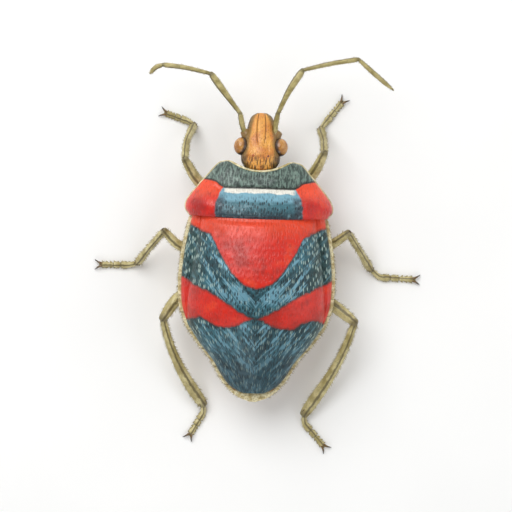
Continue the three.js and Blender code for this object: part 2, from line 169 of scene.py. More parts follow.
# Borders of the colour bands on the shield: how far back each lies, by distance from the midline
red_base_end = curve([
    (0, 2.9), (1, 2.6), (2, 1.75), (3, 0.35), (3.6, -0.7), (4.1, -1.7), (5.1, -2.2), (6.6, -2.95),
])
blue_band_end = curve([
    (0, 5.6), (1, 5.2), (2, 4.6), (3, 3.95), (4.3, 3.2), (5, 2.9), (6.3, 2.2), (7.1, 1.75),
])
red_patch_end = curve([
    (0, 5.5), (0.7, 5.7), (2, 6.3), (3.2, 6.35), (4.3, 5.8), (5, 5.55), (6.4, 5.95), (7.1, 6.1),
])

# Borders of the colours on the pronotum
collar_end = curve([(0, -6.1), (3, -6.08), (3.5, -6.3), (3.9, -6.62), (4.6, -6.8), (5.2, -6.9)])
middle_half = curve([(-6.1, 3.2), (-5.6, 3.5), (-4.9, 3.78), (-4.2, 3.92), (-3.5, 3.9)])


# Meshes

class Form:
    """Points and faces gathered in millimetres, with the values that the materials read there."""

    def __init__(self):
        self.points = []
        self.faces = []
        self.slots = []
        self.grain = []
        self.marks = []
        self.patches = []
        self.count = 0

    def add(self, points, faces, slot=0, grain=None, marks=None, patch=None):
        points = np.asarray(points, dtype=float)
        zeros = np.zeros_like(points)
        self.points.append(points)
        self.grain.append(zeros if grain is None else grain)
        self.marks.append(zeros if marks is None else marks)
        self.patches.append(np.zeros((len(points), 2)) if patch is None else patch)
        self.faces += [tuple(int(i) + self.count for i in face) for face in faces]
        self.slots += [slot] * len(faces)
        self.count += len(points)

    def add_tube(self, path, radius, slot=0, marks=None, **shape):
        """Adds a tube, kept off the floor. marks hold all over it, in place of its own."""
        points, faces, grain, own_marks = tube(path, radius, **shape)
        points[:, 2] = np.maximum(points[:, 2], FLOOR_GAP)
        held = own_marks if marks is None else np.tile(marks, (len(points), 1))
        self.add(points, faces, slot=slot, grain=grain, marks=held)

    def add_ball(self, centre, radii, around, rows, slot=0, marks=(0.0, 0.0, 0.0)):
        """Adds an ellipsoid, with marks that hold all over it."""
        points, faces = ball(centre, radii, around, rows)
        self.add(points, faces, slot=slot, marks=np.tile(marks, (len(points), 1)))

    def build(self, name, makers, replaced, record_slot, coat=False):
        """Makes the object, gives it its materials and sets it in the frame in place of solids."""
        mesh = bpy.data.meshes.new(name)
        mesh.from_pydata((np.concatenate(self.points) * MM).tolist(), [], self.faces)
        for label, arrays in (("grain", self.grain), ("marks", self.marks)):
            values = mesh.attributes.new(label, "FLOAT_VECTOR", "POINT")
            values.data.foreach_set("vector", np.concatenate(arrays).ravel())
        if coat:
            corners = np.empty(len(mesh.loops), dtype=int)
            mesh.loops.foreach_get("vertex_index", corners)
            layer = mesh.uv_layers.new(name="OFBake")
            layer.data.foreach_set("uv", np.concatenate(self.patches)[corners].ravel())
        for maker in makers:
            mesh.materials.append(material(maker))
        mesh.polygons.foreach_set("material_index", self.slots)
        if not coat:
            work = bmesh.new()
            work.from_mesh(mesh)
            bmesh.ops.recalc_face_normals(work, faces=work.faces)
            work.to_mesh(mesh)
            work.free()
        mesh.shade_smooth()
        piece = bpy.data.objects.new(name, mesh)
        bpy.context.scene.collection.objects.link(piece)
        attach(piece, "root")
        if replaced:
            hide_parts(*replaced)


def ring_faces(rows, around):
    """Quads between rows of points that run right round."""
    row = np.arange(rows - 1)[:, None] * around
    here = np.arange(around)[None, :]
    after = (here + 1) % around
    quads = np.stack([row + here, row + after, row + around + after, row + around + here], axis=-1)
    return quads.reshape(-1, 4)


def closed_faces(rows, around):
    """Quads between the rows, and one face over each end."""
    last = (rows - 1) * around
    ends = [tuple(range(around)), tuple(last + k for k in reversed(range(around)))]
    return [*ring_faces(rows, around), *ends]


def cap_faces(start, around):
    """Strips that close a ring whose point k lies above its point -k."""
    strips = []
    for k in range(around // 2):
        face = [start + k, start + k + 1, start + around - k - 1, start + (around - k) % around]
        strips.append(list(dict.fromkeys(face)))
    return strips


def loft(along, around, section, sculpt):
    """Closed body through cross-sections. section(y) gives half, level, rise, drop, bow, crown and keel.

    Returns the points, the faces and the angle round the section of every point.
    """
    y = np.asarray(along, dtype=float)[:, None]
    angle = (2 * math.pi * np.arange(around) / around)[None, :] + 0 * y
    across, up = np.cos(angle), np.sin(angle)
    half, level, rise, drop, bow, crown, keel = (value + 0 * y for value in section(y))
    over = rise * np.power(np.clip(up, 0, 1), crown)
    under = drop * np.power(np.clip(-up, 0, 1), keel)
    points = np.stack([half * across, y + bow * across**2, level + over - under], axis=-1).reshape(-1, 3)
    angle = angle.reshape(-1)
    points = sculpt(points, angle)
    last = (len(along) - 1) * around
    faces = list(ring_faces(len(along), around)) + cap_faces(0, around) + cap_faces(last, around)
    return points, faces, angle


def smooth_path(points, count):
    """Points along a centripetal Catmull-Rom curve through the given ones."""
    given = np.array(points, dtype=float)
    ends = [2 * given[0] - given[1], *given, 2 * given[-1] - given[-2]]
    spots = []
    for place in np.linspace(0, len(given) - 1, count):
        i = min(int(place), len(given) - 2)
        t = place - i
        a, b, c, d = ends[i:i + 4]
        first, middle, last = (np.linalg.norm(q - p) ** 0.5 for p, q in ((a, b), (b, c), (c, d)))
        leaving = ((b - a) / first - (c - a) / (first + middle) + (c - b) / middle) * middle
        reaching = ((c - b) / middle - (d - b) / (middle + last) + (d - c) / last) * middle
        spots.append(
            (2 * t**3 - 3 * t**2 + 1) * b + (t**3 - 2 * t**2 + t) * leaving
            + (3 * t**2 - 2 * t**3) * c + (t**3 - t**2) * reaching
        )
    return np.array(spots)


def unit(vectors):
    """Vectors of length 1."""
    return vectors / np.maximum(np.linalg.norm(vectors, axis=-1, keepdims=True), 1e-9)


def length_along(path):
    """How far along a path each of its points lies."""
    return np.concatenate([[0.0], np.cumsum(np.linalg.norm(np.diff(path, axis=0), axis=1))])


def frames_along(path):
    """Directions along a path, to its side and over it."""
    along = unit(np.gradient(path, axis=0))
    side = unit(np.cross(along, [0.0, 0.0, 1.0]))
    return along, side, np.cross(side, along)


def tube(path, radius, sides=28, flat=1.0, ridges=0, ridge_depth=0.0, blunt=(0.8, 0.8)):
    """Closed limb along a path, with rounded ends. radius is a curve over the share of its length.

    Returns points, faces, grain (round it, along it) and marks (share along, share around, radius).
    """
    path = np.asarray(path, dtype=float)
    along, side, over = frames_along(path)
    length = length_along(path)
    share = length / length[-1]
    radii = radius(share)
    turns = np.radians([90, 72, 54, 36, 18])
    rings = []
    for turn in turns:
        rings.append((0, -math.sin(turn) * blunt[0], math.cos(turn)))
    rings += [(i, 0.0, 1.0) for i in range(len(path))]
    for turn in turns[::-1]:
        rings.append((len(path) - 1, math.sin(turn) * blunt[1], math.cos(turn)))
    angle = 2 * math.pi * np.arange(sides) / sides
    shape = 1 + ridge_depth * np.cos(ridges * angle) if ridges else np.ones(sides)
    points, grain, marks = [], [], []
    for i, ahead, scale in rings:
        reach = max(scale, 1e-3) * radii[i] * shape
        ring = (
            path[i] + along[i] * ahead * radii[i]
            + side[i] * (reach * np.cos(angle))[:, None]
            + over[i] * (reach * flat * np.sin(angle))[:, None]
        )
        points.append(ring)
        run = length[i] + ahead * radii[i]
        grain.append(np.stack([angle * radii[i], run + 0 * angle, 0 * angle], axis=-1))
        marks.append(np.stack([share[i] + 0 * angle, angle / (2 * math.pi), radii[i] + 0 * angle], axis=-1))
    faces = closed_faces(len(rings), sides)
    return np.concatenate(points), faces, np.concatenate(grain), np.concatenate(marks)


def ball(centre, radii, around, rows):
    """Closed ellipsoid, with its poles towards +X and -X."""
    turn = np.linspace(0, math.pi, rows)[:, None]
    angle = (2 * math.pi * np.arange(around) / around)[None, :]
    ring = np.maximum(np.sin(turn), 1e-3)
    unit_points = np.stack([np.cos(turn) + 0 * angle, ring * np.cos(angle), ring * np.sin(angle)], axis=-1)
    points = unit_points.reshape(-1, 3) * np.asarray(radii) + np.asarray(centre)
    return points, closed_faces(rows, around)


def hairs(form, roots, directions, lengths, thickness, patches):
    """Fine bristles, three-sided and curved, each rooted a little under the surface."""
    directions = unit(directions)
    sideways = unit(np.cross(directions, [0.31, 0.17, 0.93]))
    over = np.cross(sideways, directions)
    corners = np.radians([90, 210, 330])
    stages = ((-0.08, 1.0), (0.5, 0.7), (1.0, 0.12))
    rings = []
    for share, thick in stages:
        bend = lengths * BRISTLE_BEND * share**2
        centre = roots + directions * (lengths * share)[:, None] - over * bend[:, None]
        for corner in corners:
            offset = sideways * math.cos(corner) + over * math.sin(corner)
            rings.append(centre + offset * (thickness * thick))
    points = np.stack(rings, axis=1).reshape(-1, 3)
    points[:, 2] = np.maximum(points[:, 2], FLOOR_GAP)
    shape = [(a, (a + 1) % 3, 3 + (a + 1) % 3, 3 + a) for a in range(3)]
    shape += [(3 + a, 3 + (a + 1) % 3, 6 + (a + 1) % 3, 6 + a) for a in range(3)] + [(6, 7, 8)]
    faces = [tuple(9 * i + k for k in face) for i in range(len(roots)) for face in shape]
    share = np.tile(np.repeat([s for s, _ in stages], 3), len(roots))
    marks = np.stack([share, np.repeat(np.arange(len(roots)) % 97 / 97, 9), 0 * share], axis=-1)
    spread = 0.0015 * np.array([(-1, -1), (1, -1), (0, 1)] * 3)
    patch = np.repeat(patches, 9, axis=0) + np.tile(spread, (len(roots), 1))
    form.add(points, faces, marks=marks, patch=patch)


# Materials

SMOOTH = {"interpolation_type": "SMOOTHSTEP"}
COLOUR = {"data_type": "RGBA"}
PRODUCT = {"operation": "MULTIPLY"}
CHITIN_IOR = 1.56


def linear(colour):
    """Linear colour with alpha from a six-digit sRGB hex value."""
    channels = [int(colour[i:i + 2], 16) / 255 for i in (0, 2, 4)]
    return (*[c / 12.92 if c <= 0.04045 else ((c + 0.055) / 1.055) ** 2.4 for c in channels], 1.0)


def add_node(tree, kind, *values, output="", named=None, **settings):
    """Adds a shader node with its settings, fills its sockets in order or by name, and gives an output."""
    made = tree.nodes.new("ShaderNode" + kind)
    for name, value in settings.items():
        setattr(made, name, value)
    given = list(zip([socket for socket in made.inputs if socket.enabled], values))
    given += [(made.inputs[name], value) for name, value in (named or {}).items()]
    for socket, value in given:
        if isinstance(value, bpy.types.NodeSocket):
            tree.links.new(value, socket)
        elif value is not None:
            socket.default_value = linear(value) if isinstance(value, str) else value
    return next(socket for socket in made.outputs if socket.enabled and output in ("", socket.name))


def blend(add, colour, other, value, start, end, most=1.0):
    """Turns one colour into another as a value goes from start to end, by at most this share."""
    return add("Mix", add("MapRange", value, start, end, 0.0, most, **SMOOTH), colour, other, **COLOUR)


def start_material(name, **facts):
    """A material, the function that adds nodes to it, and its shader with what holds all over it."""
    made = bpy.data.materials.new(name)
    made.use_nodes = True
    shader = made.node_tree.nodes["Principled BSDF"]
    for fact, value in facts.items():
        shader.inputs[fact.replace("_", " ")].default_value = value
    return made, partial(add_node, made.node_tree), shader


def finish_material(made, add, shader, colour, layers, roughness=None):
    """Links colour and roughness, and stacks bumps, each a height and the millimetres it stands for."""
    made.node_tree.links.new(colour, shader.inputs["Base Color"])
    if roughness is not None:
        made.node_tree.links.new(roughness, shader.inputs["Roughness"])
    normal = None
    for height, depth in layers:
        normal = add("Bump", 1.0, depth * MM, named={"Height": height, "Normal": normal})
    made.node_tree.links.new(normal, shader.inputs["Normal"])
    return made


def place_on_bug(add):
    """The place on the animal in millimetres, as a vector and as its three parts."""
    place = add("VectorMath", add("TexCoord", output="Object"), (1 / MM,) * 3, **PRODUCT)
    return place, add("SeparateXYZ", place).node.outputs


def carried(add, label):
    """The three values that a mesh carries under this label, as a vector and as its parts."""
    vector = add("Attribute", output="Vector", attribute_name=label)
    return vector, add("SeparateXYZ", vector).node.outputs


def clouds(add, place, sizes, detail=3.0):
    """Soft mottling whose clouds are about these millimetres across, each way."""
    vector = add("VectorMath", place, [1 / size for size in sizes], **PRODUCT)
    return add("TexNoise", vector, 1.0, detail, 0.55)


def specks(add, place, sizes, randomness=0.85, dimensions="3D"):
    """One speck to a cell of these millimetres: the distance to its middle, and a random value for it."""
    vector = add("VectorMath", place, [1 / size for size in sizes], **PRODUCT)
    spread = {"Randomness": randomness}
    distance = add("TexVoronoi", vector, 1.0, named=spread, voronoi_dimensions=dimensions)
    return distance, add("SeparateColor", distance.node.outputs["Color"])


def rows_of_pits(add, grain, spacing, length):
    """Pits in rows along the body: how deep a point lies in its pit, and a random value for the pit."""
    distance, shade = specks(add, grain, (spacing, length, 1.0), 0.8, "2D")
    return add("MapRange", distance, 0.4, 0.16, **SMOOTH), shade


def blue_shell(add, grain, place, out, pit, shade, tail):
    """Blue of the shield, streaked back towards the midline with painted highlight in light blue and with
    darker streaks, and with pale and dark dashes in its pits.
    """
    rows = add("SeparateXYZ", grain).node.outputs
    streak = clouds(add, add("CombineXYZ", rows[2], rows[1], 0.0), (0.34, 2.2, 1.0))
    broad = clouds(add, place, (2.2, 3.0, 2.2), 2.0)
    blue = blend(add, "1c4048", colours().shell_blue, broad, 0.36, 0.62)
    blue = blend(add, blue, "28443f", out, 4.3, 5.4, 0.75)
    # Painted highlight: light-blue streaks over the shield, strongest towards the midline.
    near_streaks = add("MapRange", out, 5.3, 4.0, 0.3, 0.85, **SMOOTH)
    painted_highlight_streaks = add("Math", add("MapRange", streak, 0.48, 0.62, **SMOOTH), near_streaks, **PRODUCT)
    blue = add("Mix", painted_highlight_streaks, blue, colours().streak_blue, **COLOUR)
    blue = blend(add, blue, "102a33", streak, 0.42, 0.3, 0.75)
    blue = add("Mix", tail, blue, "193b47", **COLOUR)
    dark = add("Math", pit, add("MapRange", shade, 0.56, 0.5, 0.0, 0.8, **SMOOTH), **PRODUCT)
    blue = add("Mix", dark, blue, "0b1e22", **COLOUR)
    strength = add("MapRange", out, 2.0, 5.2, 0.3, 0.85)
    pale = add("Math", pit, add("MapRange", shade, 0.58, 0.64, **SMOOTH), **PRODUCT)
    return add("Mix", add("Math", pale, strength, **PRODUCT), blue, "bdd6cd", **COLOUR)


def red_shell(add, place, pit, warmth):
    """Red of the lobes and bands: deep in its clouds and pits, and turned orange by painted highlight in
    cloudy patches and where the highlight given is strong.
    """
    cloud = clouds(add, place, (2.0, 1.8, 2.0), 4.0)
    red = blend(add, "a80a00", colours().shell_red, cloud, 0.34, 0.56)
    # Painted highlight: orange in cloudy patches, and where the highlight amount given is strong.
    patchy_painted_highlight = add("MapRange", cloud, 0.52, 0.7, 0.0, 0.55, **SMOOTH)
    lit = add("Math", warmth, patchy_painted_highlight, operation="MAXIMUM")
    red = add("Mix", lit, red, colours().shell_orange, **COLOUR)
    brush = clouds(add, place, (0.5, 1.6, 0.8), 4.0)
    red = blend(add, red, "8c0a02", brush, 0.56, 0.74, 0.5)
    return add("Mix", add("Math", pit, 0.1, **PRODUCT), red, "5a0a04", **COLOUR)


def pitted_relief(add, place, pit, redness, swell_sizes, glossiest):
    """Swells, pits and scuffs of the back as layers, and its roughness. Red parts have shallower pits."""
    scuff = clouds(add, place, (0.33, 0.33, 0.33), 4.0)
    swell = clouds(add, place, swell_sizes, 2.0)
    shallow = add("Math", pit, add("MapRange", redness, 0.0, 1.0, 1.0, 0.45), **PRODUCT)
    depth = add("Math", 1.0, shallow, operation="SUBTRACT")
    roughness = add("MapRange", scuff, 0.3, 0.7, glossiest, 0.48, **SMOOTH)
    return [(swell, 0.09), (depth, 0.05), (scuff, 0.012)], roughness


# Shell cuticle: tanned chitin, cast in one piece and pricked with rows of pits. It gives a hard, wet
# gloss over deep colour, with a slight metal glint in the blue.
def punctured_shell_cuticle(name):
    made, add, shader = start_material(name, IOR=CHITIN_IOR, Coat_Weight=0.1, Coat_Roughness=0.18)
    grain, _ = carried(add, "grain")
    _, borders = carried(add, "marks")
    place, spot = place_on_bug(add)
    out = add("Math", spot[0], operation="ABSOLUTE")
    wobble = add("MapRange", clouds(add, place, (0.6, 0.6, 0.6), 4.0), 0.0, 1.0, -0.25, 0.25)
    edges = [add("Math", borders[i], wobble) for i in range(3)]
    past = [add("MapRange", edge, -BAND_SOFTNESS, BAND_SOFTNESS, **SMOOTH) for edge in edges]
    pit, shade = rows_of_pits(add, grain, sizes().pit_spacing / MM, sizes().pit_length / MM)
    tail = add("MapRange", spot[1], 5.5, 11.0, 0.0, 0.72, **SMOOTH)
    blue = blue_shell(add, grain, place, out, pit, shade, tail)
    # Painted highlight: the front of the red base band turns orange, fading back from the waist.
    base_painted_highlight = add("MapRange", spot[1], WAIST_Y, WAIST_Y + 2.6, 0.75, 0.1, **SMOOTH)
    red = red_shell(add, place, pit, base_painted_highlight)
    base_is_red = add("Math", 1.0, past[0], operation="SUBTRACT")
    patch_is_red = add("Math", past[1], add("Math", 1.0, past[2], operation="SUBTRACT"), **PRODUCT)
    reddened = add("Math", base_is_red, patch_is_red, operation="MAXIMUM")
    colour = add("Mix", reddened, blue, red, **COLOUR)
    for edge in edges:
        line = add("MapRange", add("Math", edge, operation="ABSOLUTE"), 0.04, 0.24, 0.5, 0.0, **SMOOTH)
        colour = add("Mix", line, colour, "2a1c18", **COLOUR)
    made.node_tree.links.new(add("MapRange", reddened, 0.0, 1.0, 0.3, 0.0), shader.inputs["Metallic"])
    layers, roughness = pitted_relief(add, place, pit, reddened, (1.4, 1.1, 1.4), 0.32)
    return finish_material(made, add, shader, colour, layers, roughness)


# Pronotum cuticle: the same pitted chitin, with a matt slate collar, painted shade in its furrow, a white
# line painted behind the furrow as highlight, and red lobes that swell out at the shoulders, with painted
# shade beside them and painted highlight on their fronts.
def punctured_pronotum_cuticle(name):
    made, add, shader = start_material(name, IOR=CHITIN_IOR, Coat_Weight=0.1, Coat_Roughness=0.18)
    grain, _ = carried(add, "grain")
    _, borders = carried(add, "marks")
    place, spot = place_on_bug(add)
    cloud = clouds(add, place, (0.55, 0.55, 0.55), 4.0)
    wobble = add("MapRange", cloud, 0.0, 1.0, -0.17, 0.17)
    slow_cloud = clouds(add, place, (1.1, 1.1, 1.1), 3.0)
    small_wobble = add("MapRange", slow_cloud, 0.25, 0.75, -0.12, 0.12)
    pit, shade = rows_of_pits(add, grain, sizes().pit_spacing / MM, sizes().pit_length * 0.8 / MM)
    fine = clouds(add, place, (0.35, 0.5, 0.5), 4.0)
    blue = blend(add, colours().streak_blue, colours().shell_blue, spot[1], -5.1, -4.6)
    blue = blend(add, blue, "16303a", spot[1], -4.4, -3.6, 0.85)
    # Painted shade: the blue is darkened beside the swollen red lobes.
    painted_shade_by_lobes = add("MapRange", add("Math", borders[1], wobble), -1.0, -0.35, **SMOOTH)
    painted_shade_by_lobes = add("Math", painted_shade_by_lobes, add("MapRange", spot[1], -5.5, -4.9, 0.1, 0.9, **SMOOTH), **PRODUCT)
    blue = add("Mix", painted_shade_by_lobes, blue, "303c47", **COLOUR)
    blue = blend(add, blue, "86b4c0", fine, 0.52, 0.72, 0.4)
    punctured = add("MapRange", spot[1], -5.3, -4.8, 0.15, 0.9, **SMOOTH)
    spots = add("Math", pit, add("MapRange", shade, 0.4, 0.5, **SMOOTH), **PRODUCT)
    blue = add("Mix", add("Math", spots, punctured, **PRODUCT), blue, "10282f", **COLOUR)
    # Painted highlight: the red lobes turn orange at their front, fading back to deep red.
    warmth = add("MapRange", add("Math", spot[1], wobble), -5.9, -4.6, 0.85, 0.0, **SMOOTH)
    red = red_shell(add, place, pit, warmth)
    outside = add("MapRange", add("Math", borders[1], wobble), -0.09, 0.09, **SMOOTH)
    back = add("Mix", outside, blue, red, **COLOUR)
    # Painted highlight: a white line along the rear lip of the furrow behind the collar.
    highlight_line_end = add("MapRange", add("Math", spot[1], small_wobble), -5.66, -5.54, 1.0, 0.0, **SMOOTH)
    highlight_line_side = add("MapRange", add("Math", borders[2], wobble), -3.3, -2.95, **SMOOTH)
    back = add("Mix", add("Math", highlight_line_end, highlight_line_side, **PRODUCT), back, "eeebe0", **COLOUR)
    weave = clouds(add, place, (0.16, 0.6, 0.6))
    collar = blend(add, "31423c", colours().collar_slate, weave, 0.38, 0.6)
    bloom = clouds(add, place, (0.9, 0.5, 0.9), 4.0)
    collar = blend(add, collar, "94a79a", bloom, 0.52, 0.7, 0.5)
    collar = add("Mix", add("Math", pit, 0.45, **PRODUCT), collar, "1c2723", **COLOUR)
    colour = blend(add, collar, back, add("Math", borders[0], small_wobble), -0.05, 0.05)
    # Painted shade: a dark line laid in the furrow behind the collar.
    furrow = add("MapRange", add("Math", borders[0], operation="ABSOLUTE"), 0.03, 0.14, 0.9, 0.0, **SMOOTH)
    colour = add("Mix", furrow, colour, "1a201d", **COLOUR)
    layers, roughness = pitted_relief(add, place, pit, outside, (1.2, 1.2, 1.2), 0.34)
    return finish_material(made, add, shader, colour, layers, roughness)


# Head cuticle: thinner chitin, ochre over the middle and browner at the sides, with dark scratches
# where it slides under the collar. It gives a satin, waxy look.
def striated_head_cuticle(name):
    made, add, shader = start_material(name, IOR=CHITIN_IOR, Coat_Weight=0.2, Coat_Roughness=0.2)
    place, spot = place_on_bug(add)
    _, marks = carried(add, "marks")
    cloud = clouds(add, place, (1.0, 1.3, 1.0), 4.0)
    colour = blend(add, "cf7f36", colours().head_ochre, cloud, 0.36, 0.62)
    sides = add("Math", marks[0], add("MapRange", cloud, 0.0, 1.0, -0.2, 0.2))
    colour = blend(add, colour, "7a6130", sides, 0.55, 0.78, 0.9)
    colour = blend(add, colour, "3f3018", sides, 0.84, 1.0, 0.85)
    pit, shade = rows_of_pits(add, place, 0.19, 0.24)
    freckle = add("Math", pit, add("MapRange", shade, 0.55, 0.75, 0.0, 0.4, **SMOOTH), **PRODUCT)
    colour = add("Mix", freckle, colour, "9a5c26", **COLOUR)
    scratch, _ = specks(add, place, (0.15, 0.85, 1.0), 0.9, "2D")
    rear = add("MapRange", spot[1], -9.4, -8.6, 0.0, 0.85, **SMOOTH)
    stria = add("Math", add("MapRange", scratch, 0.42, 0.2, **SMOOTH), rear, **PRODUCT)
    colour = add("Mix", stria, colour, "4e2c10", **COLOUR)
    colour = blend(add, colour, "6e4018", marks[1], 0.3, 0.9, 0.8)
    grit = clouds(add, place, (0.2, 0.2, 0.2), 4.0)
    roughness = add("MapRange", grit, 0.3, 0.7, 0.32, 0.48, **SMOOTH)
    layers = [
        (add("Math", 1.0, pit, operation="SUBTRACT"), 0.024),
        (add("Math", 1.0, stria, operation="SUBTRACT"), 0.03),
        (grit, 0.02),
    ]
    return finish_material(made, add, shader, colour, layers, roughness)


# Eye cornea: clear domed facets over tan pigment, with painted shade where it faces away from up and out. It
# gives a bright, small glint.
# Real facets are about 0.02 mm; these are drawn at twice that, so that they show.
def faceted_eye_cornea(name):
    made, add, shader = start_material(
        name, Roughness=0.16, IOR=1.5, Coat_Weight=0.9, Coat_Roughness=0.05, Coat_IOR=1.45)
    place, _ = place_on_bug(add)
    _, marks = carried(add, "marks")
    colour = blend(add, "b4742c", "dda04e", clouds(add, place, (0.6, 0.6, 0.6)), 0.36, 0.64)
    # Painted shade: darker where the eye faces away from up and out.
    colour = blend(add, "35200c", colour, marks[2], 0.28, 0.62)
    facet, _ = specks(add, place, (0.042, 0.042, 0.042), 0.25)
    colour = blend(add, colour, "3a210c", facet, 0.35, 0.6, 0.35)
    dome = add("MapRange", facet, 0.1, 0.6, 1.0, 0.0, **SMOOTH)
    return finish_material(made, add, shader, colour, [(dome, 0.008)])


# Ocellus cornea: one clear, smooth bead over amber pigment, glossy as a drop of resin.
def smooth_ocellus_cornea(name):
    made, add, shader = start_material(
        name, Roughness=0.1, IOR=1.5, Coat_Weight=1.0, Coat_Roughness=0.03, Coat_IOR=1.45)
    place, _ = place_on_bug(add)
    depth = clouds(add, place, (0.2, 0.2, 0.2))
    colour = blend(add, "6b2409", "b0561e", depth, 0.35, 0.65)
    return finish_material(made, add, shader, colour, [(depth, 0.004)])


def limb_cuticle(name, pale, middle, dark, stripes, roughness):
    """Ribbed chitin of a limb, with fine dark lines along it, dark specks, and darker ends."""
    made, add, shader = start_material(name, IOR=CHITIN_IOR, Coat_Weight=0.15, Coat_Roughness=0.22)
    place, _ = place_on_bug(add)
    _, marks = carried(add, "marks")
    cloud = clouds(add, place, (0.9, 0.9, 0.9), 4.0)
    colour = blend(add, middle, pale, cloud, 0.36, 0.64)
    turn = add("Math", marks[1], 2 * math.pi * stripes, **PRODUCT)
    jitter = add("MapRange", clouds(add, place, (0.42, 0.42, 0.42), 2.0), 0.0, 1.0, 0.0, 1.6)
    wave = add("Math", add("Math", turn, jitter), operation="COSINE")
    line = add("MapRange", wave, 0.5, 0.96, **SMOOTH)
    colour = add("Mix", add("Math", line, 0.8, **PRODUCT), colour, dark, **COLOUR)
    speck, shade = specks(add, place, (0.13, 0.13, 0.13), 0.9)
    dot = add("MapRange", speck, 0.34, 0.16, **SMOOTH)
    mottling = add("Math", dot, add("MapRange", shade, 0.5, 0.7, 0.0, 0.8, **SMOOTH), **PRODUCT)
    colour = add("Mix", mottling, colour, dark, **COLOUR)
    ends = add("Math", add("Math", marks[0], 0.5, operation="SUBTRACT"), operation="ABSOLUTE")
    colour = blend(add, colour, dark, ends, 0.43, 0.5, 0.65)
    grit = clouds(add, place, (0.17, 0.17, 0.17), 4.0)
    gloss = add("MapRange", grit, 0.3, 0.7, roughness - 0.07, roughness + 0.1, **SMOOTH)
    layers = [
        (add("Math", 1.0, line, operation="SUBTRACT"), 0.03),
        (add("Math", 1.0, dot, operation="SUBTRACT"), 0.02),
        (grit, 0.015),
    ]
    return finish_material(made, add, shader, colour, layers, gloss)


# Leg cuticle: olive-gold ribbed chitin, satin between its ridges.
def ridged_leg_cuticle(name):
    return limb_cuticle(name, colours().leg_olive, "a5965c", "4e421e", stripes=3, roughness=0.4)


# Antenna cuticle: as on the legs, duller under its fine down.
def downy_antenna_cuticle(name):
    return limb_cuticle(name, "bfb178", "918346", "473d1c", stripes=2, roughness=0.45)


# Beak cuticle: brown chitin, rubbed smooth.
def polished_beak_cuticle(name):
    return limb_cuticle(name, "96743a", "6e5127", "352410", stripes=2, roughness=0.32)


# Belly cuticle: ochre pitted chitin, dark along the seams of its rings, with an ivory edge that shows
# beside the shield. It gives a satin, leathery look.
def punctured_belly_cuticle(name):
    made, add, shader = start_material(name, IOR=CHITIN_IOR, Coat_Weight=0.15, Coat_Roughness=0.22)
    place, _ = place_on_bug(add)
    _, marks = carried(add, "marks")
    cloud = clouds(add, place, (2.0, 1.7, 2.0), 4.0)
    colour = blend(add, "96672c", colours().belly_ochre, cloud, 0.35, 0.65)
    colour = blend(add, colour, "4c3216", marks[1], 0.25, 0.95, 0.85)
    pit, shade = rows_of_pits(add, place, 0.24, 0.24)
    dark = add("Math", pit, add("MapRange", shade, 0.4, 0.6, 0.1, 0.6, **SMOOTH), **PRODUCT)
    colour = add("Mix", dark, colour, "5e3f1a", **COLOUR)
    ivory = blend(add, "b5a16a", colours().edge_ivory, clouds(add, place, (0.4, 0.4, 0.4)), 0.35, 0.65)
    ivory = add("Mix", add("Math", pit, 0.35, **PRODUCT), ivory, "7d6c3c", **COLOUR)
    ivory = blend(add, ivory, "51431f", marks[2], 0.55, 0.95, 0.7)
    colour = blend(add, colour, ivory, marks[0], 0.5, 0.38)
    grit = clouds(add, place, (0.25, 0.25, 0.25), 4.0)
    roughness = add("MapRange", grit, 0.3, 0.7, 0.34, 0.5, **SMOOTH)
    depth = add("Math", 1.0, pit, operation="SUBTRACT")
    return finish_material(made, add, shader, colour, [(depth, 0.03), (grit, 0.02)], roughness)


# Edge cuticle: a solid bead of unpigmented chitin, ivory with a few brown flecks.
def ivory_edge_cuticle(name):
    made, add, shader = start_material(
        name, Roughness=0.38, IOR=CHITIN_IOR, Coat_Weight=0.15, Coat_Roughness=0.2)
    place, _ = place_on_bug(add)
    cloud = clouds(add, place, (0.45, 0.45, 0.45), 4.0)
    colour = blend(add, "b7a66e", colours().edge_ivory, cloud, 0.35, 0.65)
    speck, chance = specks(add, place, (0.2, 0.2, 0.2))
    fleck = add("MapRange", speck, 0.3, 0.14, **SMOOTH)
    dark = add("Math", fleck, add("MapRange", chance, 0.6, 0.7, 0.0, 0.6, **SMOOTH), **PRODUCT)
    colour = add("Mix", dark, colour, "6b5a30", **COLOUR)
    return finish_material(made, add, shader, colour, [(cloud, 0.03)])


# Joint membrane: soft folded skin between the hard pieces, dark and dull.
def folded_joint_membrane(name):
    made, add, shader = start_material(name, Roughness=0.6, IOR=1.45)
    place, _ = place_on_bug(add)
    folds = clouds(add, place, (0.17, 0.17, 0.17))
    colour = blend(add, "332411", "5e4724", folds, 0.35, 0.65)
    return finish_material(made, add, shader, colour, [(folds, 0.05)])


# Claw cuticle: chitin tanned almost black at the point, and polished by wear.
def tanned_claw_cuticle(name):
    made, add, shader = start_material(
        name, Roughness=0.24, IOR=CHITIN_IOR, Coat_Weight=0.4, Coat_Roughness=0.1)
    place, _ = place_on_bug(add)
    _, marks = carried(add, "marks")
    colour = blend(add, "6e5224", "1a120a", marks[0], 0.2, 0.9)
    return finish_material(made, add, shader, colour, [(clouds(add, place, (0.11, 0.11, 0.11), 2.0), 0.01)])


# Foot pad: soft cuticle under a velvet of hairs too fine to see one by one. It gives a dull bloom.
def velvet_foot_pad(name):
    made, add, shader = start_material(name, Roughness=0.7, IOR=1.45, Sheen_Weight=0.3, Sheen_Roughness=0.4)
    place, _ = place_on_bug(add)
    down = clouds(add, place, (0.07, 0.07, 0.07))
    colour = blend(add, "7f7348", "b7aa76", down, 0.35, 0.65)
    return finish_material(made, add, shader, colour, [(down, 0.03)])


